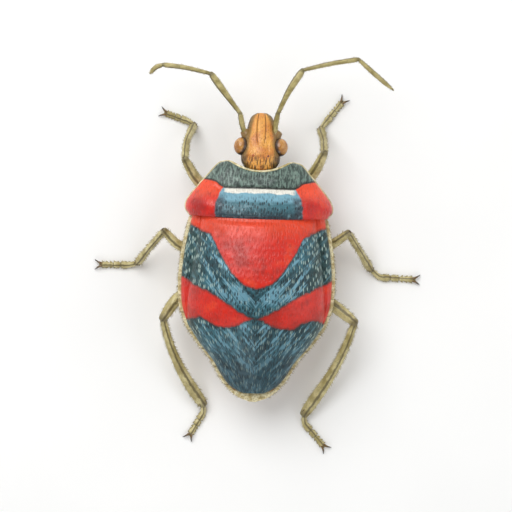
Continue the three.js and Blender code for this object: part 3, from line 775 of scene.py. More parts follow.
# Bristles: thin straw-coloured chitin, paler at the tips, with a soft sheen of gloss along them.
def straw_bristle_chitin(name):
    made, add, shader = start_material(name, Roughness=0.45, IOR=CHITIN_IOR)
    place, _ = place_on_bug(add)
    _, marks = carried(add, "marks")
    colour = add("Mix", marks[0], "7c6f3a", "c9bc88", **COLOUR)
    colour = blend(add, colour, "5c4e26", marks[1], 0.7, 1.0, 0.5)
    return finish_material(made, add, shader, colour, [(clouds(add, place, (0.1, 0.1, 0.1)), 0.002)])


# Floor: matt white paper, rolled smooth, with a faint change of tone.
def rolled_paper(name):
    made, add, shader = start_material(name, Roughness=0.9, IOR=1.45, Specular_IOR_Level=0.2)
    place, _ = place_on_bug(add)
    tone = clouds(add, place, (20.0, 20.0, 20.0), 2.0)
    colour = blend(add, "fbfbfa", "fefefd", tone, 0.3, 0.7)
    return finish_material(made, add, shader, colour, [(tone, 0.01)])


def material(maker):
    """The maker's material, made the first time that a piece asks for it."""
    return bpy.data.materials.get(maker.__name__) or maker(maker.__name__)


# Plates

def outline_grain(points):
    """Rows that run lengthwise and draw together as the body narrows, and the way across the streaks."""
    x, y, z = points.T
    down = np.maximum(shield_level(y) - z, 0) * fade(np.abs(x), 1.0, 3.5)
    rows = x / np.maximum(body_half(y), 1.5) * 6.2 + np.sign(x) * down * FLANK_ROWS
    across_streaks = (1.2 * np.abs(x) + y) / math.hypot(1.2, 1)
    return np.stack([rows, y, across_streaks], axis=-1)


def band_marks(points):
    """How far behind the three borders of the colour bands each point lies."""
    out = np.abs(points[:, 0])
    y = points[:, 1]
    return np.stack([y - red_base_end(out), y - blue_band_end(out), y - red_patch_end(out)], axis=-1)


def build_shell(points, faces, name, node, record_slot):
    """A piece of the banded shell, with the rows and borders that its cuticle reads."""
    form = Form()
    form.add(points, faces, grain=outline_grain(points), marks=band_marks(points))
    form.build(name, [punctured_shell_cuticle], [node], record_slot)


def shield_section(y):
    level = margin_level(y) + SHELF_RISE + 0.12
    start = fade(y, WAIST_Y + 0.9, WAIST_Y + 0.2)
    crest = shield_level(y) - 0.28 * start**2
    return shield_half(y) + PLATE_OVERHANG, level, crest - level, 0.22, -0.25 * start, 0.85, 1.0


def shape_shield(points, angle):
    """Two shallow dents at the front corners, faint cross wrinkles and a low ridge along the rear half."""
    x, y = points[:, 0], points[:, 1]
    top = np.clip(np.sin(angle), 0, 1)
    dents = bump(np.abs(x), 3.5, 0.75) * bump(y, WAIST_Y + 1.25, 0.55)
    ridge = bump(x, 0.0, 0.5) * fade(y, 5.5, 8.0) * fade(y, SHIELD_END - 0.4, SHIELD_END - 2.2)
    wrinkles = np.sin(3.1 * y + 1.3 * np.cos(0.9 * x)) * np.sin(1.7 * x + 0.6 * y)
    points[:, 2] += top * (0.07 * ridge - 0.13 * dents + 0.012 * wrinkles)
    return points


def make_shield():
    trunk = np.linspace(WAIST_Y - 0.12, 11.2, 230)
    tip = SHIELD_END - 1.1 * np.linspace(1, 0, 40)[1:] ** 1.6
    points, faces, _ = loft(np.concatenate([trunk, tip]), 300, shield_section, shape_shield)
    build_shell(points, faces, "shield_plate", "shield", "shield")


def make_wing_edges():
    """Hard outer edges of the folded forewings, with a raised vein along each."""
    along = np.linspace(WAIST_Y - 0.4, WING_END + 0.35, 150)
    rows = 16
    for side, sign in SIDES.items():
        inner = shield_half(along) - 0.12
        outer = np.maximum(body_half(along) - RIM_WIDTH + PLATE_OVERHANG, inner + 0.14)
        floor = margin_level(along) + SHELF_RISE - 0.1
        crest = 0.62 * (1 - fade(along, 3.0, WING_END + 0.3) ** 2) + 0.2
        across = np.linspace(0, 1, rows)
        x = inner[:, None] + (outer - inner)[:, None] * across[None, :]
        vein = 0.07 * bump(across, 0.55, 0.09)[None, :] * crest[:, None]
        z = floor[:, None] + crest[:, None] * np.sqrt(np.clip(1 - across[None, :] ** 2.4, 0, 1)) + vein
        top = np.stack([sign * x, along[:, None] + 0 * x, z], axis=-1)
        bottom = top[:, ::-1].copy()
        bottom[:, :, 2] = floor[:, None] - 0.15
        points = np.concatenate([top, bottom], axis=1).reshape(-1, 3)
        faces = closed_faces(len(along), 2 * rows)
        build_shell(points, faces, "forewing_" + side, "wing_edge_" + side, "forewing")


def table_section(rows, start, crown, keel):
    """A section for loft that reads its widths and heights from a table of rows behind start."""
    curves = [curve(list(zip(rows["back"], rows[key]))) for key in ("half", "level", "rise", "drop", "bow")]

    def section(y):
        return (*[value(y - start) for value in curves], crown, keel)

    return section


PRONOTUM_ROWS = {
    "back": (0.0, 0.22, 0.65, 1.3, 1.6, 2.0, 2.7, 3.3, 4.3),
    "half": (2.95, 3.8, 4.5, 5.35, 5.68, 6.0, 6.37, 6.45, 6.15),
    "level": (4.95, 4.95, 4.98, 5.02, 5.04, 5.06, 5.1, 5.1, 5.1),
    "rise": (1.45, 1.62, 1.78, 1.9, 2.0, 2.25, 2.75, 3.05, 3.22),
    "drop": (1.55, 1.75, 1.95, 2.15, 2.22, 2.3, 2.4, 2.45, 2.5),
    "bow": (-1.08, -0.84, -0.46, -0.12, 0.0, 0.0, 0.0, 0.0, -0.25),
}
pronotum_section = table_section(PRONOTUM_ROWS, NECK_Y, crown=0.8, keel=1.9)


def shape_pronotum(points, angle):
    """Furrow behind the collar, two smooth swellings on it, swollen shoulders and a rolled rear edge."""
    x, y = points[:, 0], points[:, 1]
    out = np.abs(x)
    top = np.clip(np.sin(angle), 0, 1)
    behind = y - collar_end(out)
    furrow = bump(behind, 0.0, 0.14) * fade(out, 5.6, 4.2)
    swellings = bump(out, 1.7, 0.8) * bump(behind, -0.75, 0.35)
    shoulders = bump(out, 4.75, 1.15) * bump(y, -4.85, 0.95)
    middle = bump(x, 0.0, 2.6) * bump(y, -4.6, 0.8)
    notch = bump(behind, 0.55, 0.3) * bump(out, 3.55, 0.4)
    rear = fade(y, WAIST_Y - 0.45, WAIST_Y)
    rise = 0.42 * shoulders + 0.1 * middle + 0.12 * swellings - 0.17 * furrow - 0.12 * notch - 0.2 * rear**2
    points[:, 2] += top**0.6 * rise
    points[:, 0] += np.sign(x) * SHOULDER_SWELL * bump(y, -4.4, 0.75) * fade(out, 4.2, 6.2)
    points[:, 1] += COLLAR_BLUNTING * fade(y, NECK_Y - 0.75, NECK_Y - 1.2)
    return points


def edge_paths(points, around):
    """Paths along a plate's left edge, its front edge and its right edge."""
    rows = points.reshape(-1, around, 3)
    return rows[::-1, 0], rows[0, 1:around // 2], rows[1:, around // 2]


def make_pronotum():
    around = 320
    front = 0.5
    length = PRONOTUM_ROWS["back"][-1]
    back = np.concatenate([front * np.linspace(0, 1, 40)[:-1] ** 1.4, np.linspace(front, length, 130)])
    along = NECK_Y + back * (WAIST_Y - NECK_Y) / length
    points, faces, _ = loft(along, around, pronotum_section, shape_pronotum)
    out = np.abs(points[:, 0])
    y = points[:, 1]
    marks = np.stack([y - collar_end(out), out - middle_half(y), -out], axis=-1)
    form = Form()
    form.add(points, faces, grain=points * (1.0, 1.0, 0.3), marks=marks)
    bead = curve([(0, RIM_BEAD * 0.7), (0.2, RIM_BEAD), (0.8, RIM_BEAD), (1, RIM_BEAD * 0.7)])
    for path in edge_paths(points, around):
        form.add_tube(path, bead, slot=1, sides=12, flat=0.8)
    makers = [punctured_pronotum_cuticle, ivory_edge_cuticle]
    form.build("pronotum_plate", makers, ["pronotum"], "pronotum")


# Underside

RINGS_END = 11.6
RING_LENGTH = (RINGS_END - ABDOMEN_Y) / ABDOMEN_RINGS
TUCK = 0.5


def belly_section(y):
    """Widths and heights of the underside, whose front end is drawn in under the pronotum."""
    level = margin_level(y)
    size = 1 - 0.07 * fade(y, WAIST_Y, WAIST_Y - TUCK)
    return body_half(y) * size, level, SHELF_RISE, (level - belly_level(y)) * size, 0.0, 0.3, 2.0


def ring_place(y):
    """How far a point is through its ring of the abdomen, from 0 to 1, or 0.5 ahead of the abdomen."""
    place = (y - ABDOMEN_Y) / RING_LENGTH
    return np.where((place > 0) & (place < ABDOMEN_RINGS + 1), place - np.floor(place), 0.5)


def breast_seams(y, out, width):
    """The two seams between the breast plates, which slant back towards the sides."""
    return bump(y, -1.35 + 0.1 * out, width) + bump(y, 1.05 + 0.12 * out, width)


def shape_belly(points, angle):
    """Overlapping rings of the abdomen, the seams of the breast plates and scent-gland grooves."""
    x, y, out = points[:, 0], points[:, 1], np.abs(points[:, 0])
    under = np.clip(-np.sin(angle), 0, 1) ** 0.4
    ring = ring_place(y)
    step = (ring - 0.5) * fade(ring, 0.0, 0.12) * np.where(ring == 0.5, 0, 1)
    seams = breast_seams(y, out, 0.09) + bump(y, ABDOMEN_Y + 0.05, 0.1)
    gland = bump(y, 1.75 + 0.1 * out, 0.12) * bump(out, 4.0, 0.7)
    keel = bump(x, 0.0, 0.28) * fade(y, 3.4, 1.4)
    points[:, 2] -= under * (0.09 * step - 0.08 * seams - 0.12 * gland - 0.05 * keel)
    edge = fade(out, 0.0, 1.0) * np.where(y > ABDOMEN_Y, 1, 0)
    points[:, 0] += np.sign(x) * 0.05 * edge * (ring - 0.55)
    return points


def make_underside():
    trunk = np.linspace(WAIST_Y - TUCK, 12.2, 264)
    tail = TAIL_TIP - 0.9 * np.linspace(1, 0, 36)[1:] ** 1.7
    points, faces, angle = loft(np.concatenate([trunk, tail]), 240, belly_section, shape_belly)
    y, out = points[:, 1], np.abs(points[:, 0])
    ring = ring_place(y)
    seam = np.where(ring == 0.5, 0, np.maximum(bump(ring, 0.0, 0.06), bump(ring, 1.0, 0.06)))
    breast = breast_seams(y, out, 0.1) + bump(y, ABDOMEN_Y, 0.1)
    dark = np.clip(seam * 0.8 + breast * (y < ABDOMEN_Y + 0.4), 0, 1)
    from_edge = body_half(y) - out
    from_edge = np.where(np.sin(angle) > 0, np.minimum(from_edge, (TAIL_TIP - y) * 0.45), from_edge)
    marks = np.stack([from_edge, dark, seam], axis=-1)
    form = Form()
    form.add(points, faces, marks=marks)
    for sign in SIDES.values():
        for i in range(ABDOMEN_RINGS):
            y_spot = ABDOMEN_Y + (i + 0.42) * RING_LENGTH
            half, level, _, drop, *_ = belly_section(np.array(y_spot))
            across = 0.8
            spot = (sign * half * across, y_spot, level - drop * (1 - across**2))
            form.add_ball(spot, (0.16, 0.13, 0.1), slot=1, around=20, rows=12)
    makers = [punctured_belly_cuticle, folded_joint_membrane]
    form.build("underside", makers, ["thorax", "abdomen"], "underside")


# Head

HEAD_ROWS = {
    "back": (0.0, 0.3, 0.8, 1.6, 2.3, 3.05, 3.9, 4.55, 5.05, 5.6),
    "half": (0.46, 0.9, 1.14, 1.34, 1.54, 1.7, 1.78, 1.72, 1.55, 1.2),
    "level": (4.65, 4.7, 4.75, 4.85, 4.95, 5.0, 5.05, 5.05, 5.05, 5.0),
    "rise": (0.2, 0.45, 0.7, 0.97, 1.17, 1.34, 1.42, 1.4, 1.25, 0.9),
    "drop": (0.2, 0.5, 0.8, 1.15, 1.4, 1.6, 1.7, 1.7, 1.6, 1.2),
    "bow": (0.0, 0.0, 0.0, 0.0, 0.0, 0.0, 0.0, -0.15, -0.33, -0.4),
}
head_section = table_section(HEAD_ROWS, HEAD_TIP, crown=0.8, keel=0.9)
KNOB_PATH = np.array([(0.85, -10.1, 4.95), (1.2, -10.7, 5.0), (1.5, -11.25, 5.05)])
KNOB_RADIUS = curve([(0, 0.58), (0.6, 0.52), (1, 0.42)])
EYE_CENTRE = (node_box("eye_left")[0] + node_box("eye_left")[1]) / 2
EYE_RADII = (node_box("eye_left")[1] - node_box("eye_left")[0]) / 2
TYLUS_HALF = curve([(0.0, 0.26), (1.0, 0.38), (2.0, 0.4), (2.8, 0.3)])


def tylus_groove(points):
    """The two fine grooves beside the head's middle lobe."""
    back = points[:, 1] - HEAD_TIP
    return bump(np.abs(points[:, 0]), TYLUS_HALF(back), 0.05) * fade(back, 3.3, 2.4)


def shape_head(points, angle):
    """Middle lobe with grooves beside it, wrinkles on the side lobes, dents before the ocelli."""
    x, y = points[:, 0], points[:, 1]
    out, back = np.abs(x), points[:, 1] - HEAD_TIP
    top = np.clip(np.sin(angle), 0, 1)
    lobe = fade(out, TYLUS_HALF(back) + 0.05, TYLUS_HALF(back) - 0.12) * fade(back, 3.2, 2.3)
    dents = bump(out, 0.72, 0.3) * bump(back, 3.1, 0.45)
    folds = np.sin(11.0 * back + 7.0 * out) * bump(out, 0.95, 0.3) * fade(back, 3.2, 1.2)
    socket = bump(np.hypot(out - EYE_CENTRE[0], y - EYE_CENTRE[1]), EYE_RADII[1] + 0.12, 0.12)
    striae = np.sin(24.0 * x + 2.0 * np.sin(9.0 * y)) * fade(back, 4.0, 4.6)
    middle = 0.09 * lobe - 0.09 * tylus_groove(points) - 0.07 * dents
    points[:, 2] += top**0.7 * (middle + 0.012 * folds + 0.06 * socket + 0.014 * striae)
    return points


def make_head():
    nose = 0.08
    shares = np.concatenate([nose * np.linspace(0, 1, 40)[:-1] ** 1.8, np.linspace(nose, 1, 190)])
    along = HEAD_TIP + HEAD_ROWS["back"][-1] * shares
    points, faces, _ = loft(along, 240, head_section, shape_head)
    half = head_section(points[:, 1])[0]
    marks = np.stack([np.abs(points[:, 0]) / half, tylus_groove(points), 0 * half], axis=-1)
    form = Form()
    form.add(points, faces, marks=marks)
    for sign in SIDES.values():
        knob = smooth_path(KNOB_PATH * (sign, 1, 1), 20)
        form.add_tube(knob, KNOB_RADIUS, marks=(0.8, 0.0, 0.0), sides=32, blunt=(0.5, 0.35))
        form.add_ball((sign * 0.66, -9.0, 6.35), (0.12, 0.12, 0.1), slot=1, around=32, rows=20)
        cheek = (sign * 1.2, -9.75, 5.15)
        form.add_ball(cheek, (0.62, 0.95, 0.8), marks=(0.86, 0.0, 0.0), around=40, rows=24)
    form.build("head_capsule", [striated_head_cuticle, smooth_ocellus_cornea], ["head"], "head")


def make_eyes():
    for side, sign in SIDES.items():
        centre = EYE_CENTRE * (sign, 1, 1)
        points, faces = ball(centre, EYE_RADII, around=72, rows=44)
        outward = unit((points - centre) / EYE_RADII)
        # How far each point faces up and out, for the painted shade on the eye.
        painted_light_facing = np.clip(outward @ unit(np.array([sign * 0.75, -0.2, 0.63])), 0, 1)
        eye = Form()
        eye.add(points, faces, marks=np.stack([0 * painted_light_facing, 0 * painted_light_facing, painted_light_facing], axis=-1))
        eye.build("compound_eye_" + side, [faceted_eye_cornea], ["eye_" + side], "eye")


BEAK_PATH = [(0, -11.9, 3.75), (0, -11.0, 2.95), (0, -9.4, 2.35), (0, -6, 1.95), (0, -3.2, 1.85)]
BEAK_JOINTS = (0.0, 0.2, 0.5, 0.76, 1.0)


def make_beak():
    """Four jointed pieces of the beak, one behind another."""
    steps = 200
    path = smooth_path(BEAK_PATH, steps)
    form = Form()
    for i in range(4):
        start, end = (int(round(share * (steps - 1))) for share in BEAK_JOINTS[i:i + 2])
        thick = 0.29 - 0.035 * i
        tip = 0.45 if i == 3 else 0.8
        radius = curve([(0, thick * 0.82), (0.15, thick), (0.8, thick * 0.95), (1, thick * tip)])
        form.add_tube(path[start:end + 1], radius, blunt=(0.5, 0.5))
    form.build("beak_tube", [polished_beak_cuticle], ["beak"], "beak")


# Limbs

class Coat:
    """Bristles gathered over several limbs, each limb with its own strip of the coat's map."""

    def __init__(self):
        self.random = np.random.default_rng(sizes().seed)
        self.density = sizes().bristles_per_mm
        self.length = sizes().bristle_length / MM
        self.form = Form()
        self.strip = 0

    def scatter(self, path, share, first, last):
        """Random places along a path, by share of it, with the step and the point where each lies."""
        place = self.random.uniform(first, last, int(share * length_along(path)[-1] * self.density))
        index = place * (len(path) - 1)
        step = np.minimum(index.astype(int), len(path) - 2)
        part = (index - step)[:, None]
        return place, step, path[step] * (1 - part) + path[step + 1] * part

    def next_patches(self, place, turn):
        """Places in the next strip of the coat's map, by share along the limb and round it."""
        row = 0.01 + 0.02 * (self.strip % COAT_STRIPS)
        self.strip += 1
        return np.stack([0.02 + 0.96 * place, row + 0.018 * turn], axis=-1)

    def cover(self, path, radius, share, length, thickness, lean, flat=1.0, fringe=0.0):
        """Bristles round a limb, leaning to its tip. share and length are of those on a tibia, and
        fringe is the share that stands along the limb's two sides."""
        place, step, centre = self.scatter(path, share, 0.02, 0.98)
        count = len(place)
        angle = self.random.uniform(0, 2 * math.pi, count)
        on_side = self.random.uniform(size=count) < fringe
        sideways = np.round(angle / math.pi) * math.pi + self.random.normal(0, 0.16, count)
        angle = np.where(on_side, sideways, angle)
        along, side, over = frames_along(path)
        outward = side[step] * np.cos(angle)[:, None] + over[step] * np.sin(angle)[:, None] * flat
        run = length_along(path)
        roots = centre + outward * radius(run[step] / run[-1])[:, None]
        tilt = lean * self.random.uniform(0.7, 1.3, count)
        directions = unit(outward) + along[step] * tilt[:, None] + self.random.normal(0, 0.12, (count, 3))
        lengths = length * self.length * self.random.uniform(0.6, 1.25, count)
        above = roots[:, 2] + (unit(directions) * lengths[:, None])[:, 2] > 0.02
        patches = self.next_patches(place, angle / (2 * math.pi))
        hairs(self.form, roots[above], directions[above], lengths[above], thickness, patches[above])

    def fringe_edge(self, path, outward, share, length, thickness):
        """Bristles along an edge, pointing out and back."""
        place, step, roots = self.scatter(path, share, 0, 1)
        count = len(place)
        directions = outward[step] + self.random.normal(0, 0.3, (count, 3)) + np.array([0, 0.5, 0])
        lengths = length * self.length * self.random.uniform(0.5, 1.3, count)
        hairs(self.form, roots, directions, lengths, thickness, self.next_patches(place, 0 * place))

    def build(self, name, record_slot):
        self.form.build(name, [straw_bristle_chitin], [], record_slot, coat=True)


ANTENNAE = {
    "left": [
        (1.3, -10.55, 5.0), (1.95, -12.77, 5.7), (4.66, -16.19, 6.3),
        (8.99, -16.89, 6.0), (10.15, -16.1, 5.4),
    ],
    "right": [
        (-1.3, -10.55, 5.0), (-1.43, -12.88, 5.8), (-3.5, -16.75, 6.5),
        (-8.46, -17.9, 6.4), (-11.72, -15.32, 5.4),
    ],
}
ANTENNA_BULGE = {"left": (0.12, -0.12, 0.1), "right": (0.12, -0.05, 0.1)}
ANTENNA_RADII = (
    curve([(0, 0.26), (0.3, 0.22), (0.8, 0.24), (1, 0.2)]),
    curve([(0, 0.17), (0.3, 0.22), (0.75, 0.3), (0.95, 0.27), (1, 0.2)]),
    curve([(0, 0.16), (0.5, 0.2), (0.92, 0.22), (1, 0.17)]),
    curve([(0, 0.15), (0.3, 0.21), (0.75, 0.2), (1, 0.07)]),
)


def make_antennae():
    coat = Coat()
    for side in SIDES:
        joints = np.array(ANTENNAE[side])
        form = Form()
        for i, radius in enumerate(ANTENNA_RADII):
            middle = (joints[i] + joints[i + 1]) / 2 + ANTENNA_BULGE[side]
            path = smooth_path([joints[i], middle, joints[i + 1]], 60)
            ridges = 6 if i == 1 else 0
            form.add_tube(path, radius, sides=30, ridges=ridges, ridge_depth=0.05, blunt=(0.7, 0.9))
            coat.cover(path, radius, 1.0, 0.53, thickness=0.011, lean=1.0)
        nodes = [f"antenna_{side}_{i + 1}" for i in range(4)]
        form.build("antenna_" + side, [downy_antenna_cuticle], nodes, "antenna")
    coat.build("antenna_bristles", "antenna")


COXA_RADII = (0.78, 0.82, 0.72)
COXAE = {
    f"{pair}_{side}": np.mean(node_box(f"coxa_{pair}_{side}"), axis=0) for pair in PAIRS for side in SIDES
}
ANKLE = 0.62
SOLE = 0.2
LEGS = {
    "front_left": {
        "femur": [(4.0, -5.5, 2.75), (5.7, -6.8, 3.35)], "knee": (6.83, -8.57, 4.1),
        "tibia": [(6.75, -10.3, 2.6)], "ankle": (6.2, -11.9, ANKLE),
        "tarsus": [(6.9, -12.3, SOLE), (8.77, -12.9, SOLE)],
    },
    "front_right": {
        "femur": [(-3.6, -6.2, 2.75), (-4.95, -7.9, 3.4)], "knee": (-5.75, -9.55, 4.2),
        "tibia": [(-5.7, -10.8, 2.5)], "ankle": (-5.45, -11.9, ANKLE),
        "tarsus": [(-5.95, -12.6, SOLE), (-7.3, -14.4, SOLE)],
    },
    "middle_left": {
        "femur": [(4.6, -0.35, 2.6), (7.05, -0.75, 3.6)], "knee": (8.5, -2.05, 4.2),
        "tibia": [(9.75, -0.6, 2.6)], "ankle": (11.0, 0.95, ANKLE),
        "tarsus": [(11.8, 1.15, SOLE), (14.3, 1.2, SOLE)],
    },
    "middle_right": {
        "femur": [(-4.5, -0.75, 2.6), (-6.8, -1.4, 3.6)], "knee": (-8.15, -2.4, 4.2),
        "tibia": [(-9.3, -0.8, 2.6)], "ankle": (-10.45, 0.85, ANKLE),
        "tarsus": [(-11.4, 1.55, SOLE), (-14.4, 1.66, SOLE)],
    },
    "hind_left": {
        "femur": [(4.8, 2.75, 2.55), (7.1, 4.1, 3.5)], "knee": (8.35, 5.9, 4.2),
        "tibia": [(7.55, 8.5, 3.4), (6.3, 11.1, 2.2)], "ankle": (4.5, 13.8, ANKLE + 0.05),
        "tarsus": [(4.55, 14.6, SOLE), (5.6, 16.5, SOLE)],
    },
    "hind_right": {
        "femur": [(-4.8, 2.95, 2.55), (-7.1, 4.25, 3.5)], "knee": (-9.0, 5.65, 4.2),
        "tibia": [(-8.2, 8.1, 3.4), (-7.05, 10.6, 2.3)], "ankle": (-4.75, 14.4, ANKLE + 0.05),
        "tarsus": [(-4.9, 15.3, SOLE), (-6.6, 17.2, SOLE)],
    },
}
FEMUR_RADII = {
    "front": curve([(0, 0.3), (0.2, 0.42), (0.55, 0.5), (0.85, 0.43), (1, 0.34)]),
    "middle": curve([(0, 0.3), (0.2, 0.4), (0.55, 0.46), (0.85, 0.4), (1, 0.32)]),
    "hind": curve([(0, 0.32), (0.2, 0.44), (0.55, 0.57), (0.85, 0.5), (1, 0.38)]),
}
TIBIA_RADII = {
    "front": curve([(0, 0.26), (0.12, 0.29), (0.5, 0.27), (0.9, 0.33), (1, 0.3)]),
    "middle": curve([(0, 0.26), (0.12, 0.29), (0.5, 0.27), (0.9, 0.34), (1, 0.3)]),
    "hind": curve([(0, 0.27), (0.1, 0.3), (0.4, 0.36), (0.8, 0.48), (0.95, 0.44), (1, 0.36)]),
}
TIBIA_FLAT = {"front": 1.0, "middle": 1.0, "hind": 0.7}
LEG_MATERIALS = (ridged_leg_cuticle, tanned_claw_cuticle, velvet_foot_pad, folded_joint_membrane)


BEAD_RADII = (
    curve([(0, 0.21), (0.5, 0.26), (0.85, 0.31), (1, 0.24)]),
    curve([(0, 0.19), (0.6, 0.28), (1, 0.22)]),
    curve([(0, 0.17), (0.5, 0.21), (0.85, 0.27), (1, 0.2)]),
)
COLLAR_RADIUS = curve([(0, 0.42), (0.5, 0.46), (1, 0.36)])
PAD_RADIUS = curve([(0, 0.1), (0.5, 0.075), (1, 0.03)])
PAD_HEIGHTS = (0.15, 0.1, 0.045)
PADS = 7
CLAW_RADIUS = curve([(0, 0.12), (0.5, 0.085), (1, 0.022)])
CLAW_POINTS = ((-0.1, 0.08, 0.06), (0.25, 0.2, 0.12), (0.52, 0.36, 0.02), (0.66, 0.47, -0.14))
SPUR_RADIUS = curve([(0, 0.045), (1, 0.012)])
SPURS = 7


def add_tarsus(form, coat, ankle, bend, tip):
    """Three beads of the foot, with toothed pads under them, two hooked claws and two soft lobes."""
    ankle, bend, tip = (np.array(point, dtype=float) for point in (ankle, bend, tip))
    along = unit(tip - bend)
    sideways = np.cross(along, [0, 0, 1.0])
    start = ankle + (bend - ankle) * 0.15
    first, second = (bend + (tip - bend) * share for share in (0.3, 0.56))
    beads = ([start, bend, first], [first, (first + second) / 2, second], [second, (second + tip) / 2, tip])
    for bead, count, radius in zip(beads, (36, 20, 28), BEAD_RADII):
        path = smooth_path(bead, count)
        form.add_tube(path, radius, sides=26, blunt=(0.6, 0.7))
        coat.cover(path, radius, 0.7, 0.67, thickness=0.013, lean=1.2, fringe=0.6)
    for i in range(PADS):
        root = bend + (tip - bend) * ((i + 0.5) / PADS)
        for sign in (-1, 1):
            low = root + sideways * sign * 0.17 + along * 0.03
            end = low + sideways * sign * 0.16 + along * 0.1
            pad = np.array([low, (low + end) / 2, end])
            pad[:, 2] = PAD_HEIGHTS
            form.add_tube(smooth_path(pad, 8), PAD_RADIUS, slot=2, sides=12)
    for sign in (-1, 1):
        claw = [tip + along * ahead + sideways * sign * out + [0, 0, up] for ahead, out, up in CLAW_POINTS]
        form.add_tube(smooth_path(claw, 24), CLAW_RADIUS, slot=1, sides=16, blunt=(0.5, 1.0))
        lobe = tip + along * 0.18 + sideways * sign * 0.1
        lobe[2] = 0.12
        form.add_ball(lobe, (0.11, 0.11, 0.09), slot=2, around=20, rows=12)


def add_spurs(form, tibia, radius, flat):
    """Short spines round the far end of the tibia."""
    _, side, over = frames_along(tibia)
    ending = unit(tibia[-1] - tibia[-8])
    for k in range(SPURS):
        angle = 2 * math.pi * k / SPURS
        out = side[-6] * math.cos(angle) + over[-6] * math.sin(angle) * flat
        root = tibia[-6] + out * radius(0.96) * 0.85
        spine = [root, root + ending * 0.15 + out * 0.06, root + ending * 0.3 + out * 0.07]
        form.add_tube(smooth_path(spine, 8), SPUR_RADIUS, slot=1, sides=10)


def make_legs():
    coat = Coat()
    for name, leg in LEGS.items():
        pair = name.split("_")[0]
        femur_radius, tibia_radius, flat = FEMUR_RADII[pair], TIBIA_RADII[pair], TIBIA_FLAT[pair]
        coxa, knee, ankle = COXAE[name], np.array(leg["knee"]), np.array(leg["ankle"])
        form = Form()
        form.add_ball(coxa, COXA_RADII, marks=(0.4, 0.3, 0.4), around=44, rows=28)
        toward = unit(np.array(leg["femur"][0]) - coxa)
        collar = smooth_path([coxa + toward * reach for reach in (0.45, 0.8, 1.15)], 14)
        form.add_tube(collar, COLLAR_RADIUS, sides=30)
        femur = smooth_path([coxa + toward, *leg["femur"], knee], 110)
        form.add_tube(femur, femur_radius, sides=40, ridges=5, ridge_depth=0.025, blunt=(0.5, 0.75))
        coat.cover(femur, femur_radius, 0.57, 0.73, thickness=0.013, lean=1.1, fringe=0.45)
        tibia = smooth_path([knee, *leg["tibia"], ankle], 130)
        form.add_ball(knee, (0.27, 0.27, 0.27), slot=3, around=28, rows=18)
        form.add_tube(tibia, tibia_radius, sides=40, flat=flat, ridges=4, ridge_depth=0.09, blunt=(0.8, 0.6))
        coat.cover(tibia, tibia_radius, 1.0, 1.0, thickness=0.014, lean=0.9, flat=flat, fringe=0.6)
        add_spurs(form, tibia, tibia_radius, flat)
        form.add_ball(ankle, (0.22, 0.22, 0.22), slot=3, around=24, rows=16)
        add_tarsus(form, coat, ankle, *leg["tarsus"])
        nodes = [f"{part}_{name}" for part in ("coxa", "femur", "tibia", "foot")]
        form.build("leg_" + name, LEG_MATERIALS, nodes, "leg")
    coat.build("leg_bristles", "leg")


def make_fringes():
    """Short bristles along the edges of the pronotum and the abdomen."""
    coat = Coat()
    for sign in SIDES.values():
        y = np.linspace(WAIST_Y + 0.2, TAIL_TIP - 0.3, 160)
        path = np.stack([sign * body_half(y), y, margin_level(y) + 0.04], axis=-1)
        outward = np.tile((sign, 0.1, 0.0), (len(y), 1))
        coat.fringe_edge(path, outward, 0.43, 0.67, thickness=0.012)
        y = np.linspace(NECK_Y + 0.4, WAIST_Y - 0.3, 80)
        half, level, _, _, bow, _, _ = pronotum_section(y)
        path = np.stack([sign * half, y + bow, level], axis=-1)
        coat.fringe_edge(path, np.tile((sign, -0.2, 0.0), (len(y), 1)), 0.43, 0.67, thickness=0.012)
    coat.build("margin_bristles", "underside")


# Stage

PICTURE_PIXELS = 512
PIXELS_PER_MM = 11.12
VIEW_CENTRE = (0.12, -0.04)
BODY_TILT = math.radians(1.87)
LENS = 150
SENSOR = 36.0
FLOOR_REACH = 1500
WALL_GREY = "eeeeee"
CEILING_GREY = "747474"
LIGHTS = {
    "key_softbox": {"place": (75, -120, 190), "size": 210, "power": 0.42},
    "fill_softbox": {"place": (-150, 20, 150), "size": 170, "power": 0.07},
    "rear_softbox": {"place": (30, 170, 130), "size": 120, "power": 0.06},
}


def make_camera():
    """Looks straight down on the back, as the drawing does, with the head up the picture."""
    width = PICTURE_PIXELS / PIXELS_PER_MM
    distance = width * LENS / SENSOR
    right = np.array([-math.cos(BODY_TILT), -math.sin(BODY_TILT), 0])
    up = np.array([math.sin(BODY_TILT), -math.cos(BODY_TILT), 0])
    lens = bpy.data.cameras.new("camera")
    lens.lens = LENS
    lens.sensor_width = SENSOR
    lens.clip_start = 0.005
    camera = bpy.data.objects.new("camera", lens)
    bpy.context.scene.collection.objects.link(camera)
    turn = Matrix((right, up, np.cross(right, up))).transposed().to_4x4()
    turn.translation = [c * MM for c in (*VIEW_CENTRE, MARGIN_HEIGHT + distance)]
    camera.matrix_world = turn
    bpy.context.scene.camera = camera


def aim(lamp, target):
    """Turns a lamp towards the target."""
    direction = lamp.location - target
    lamp.rotation_euler = direction.to_track_quat("Z", "Y").to_euler()


def make_studio_walls():
    """Light all round: pale at eye level, dim overhead, so that the gloss keeps its contrast."""
    world = bpy.data.worlds.new("studio_walls")
    world.use_nodes = True
    add = partial(add_node, world.node_tree)
    height = add("SeparateXYZ", add("TexCoord", output="Generated"), output="Z")
    colour = blend(add, WALL_GREY, CEILING_GREY, height, 0.0, 1.0)
    world.node_tree.links.new(colour, world.node_tree.nodes["Background"].inputs["Color"])
    return world


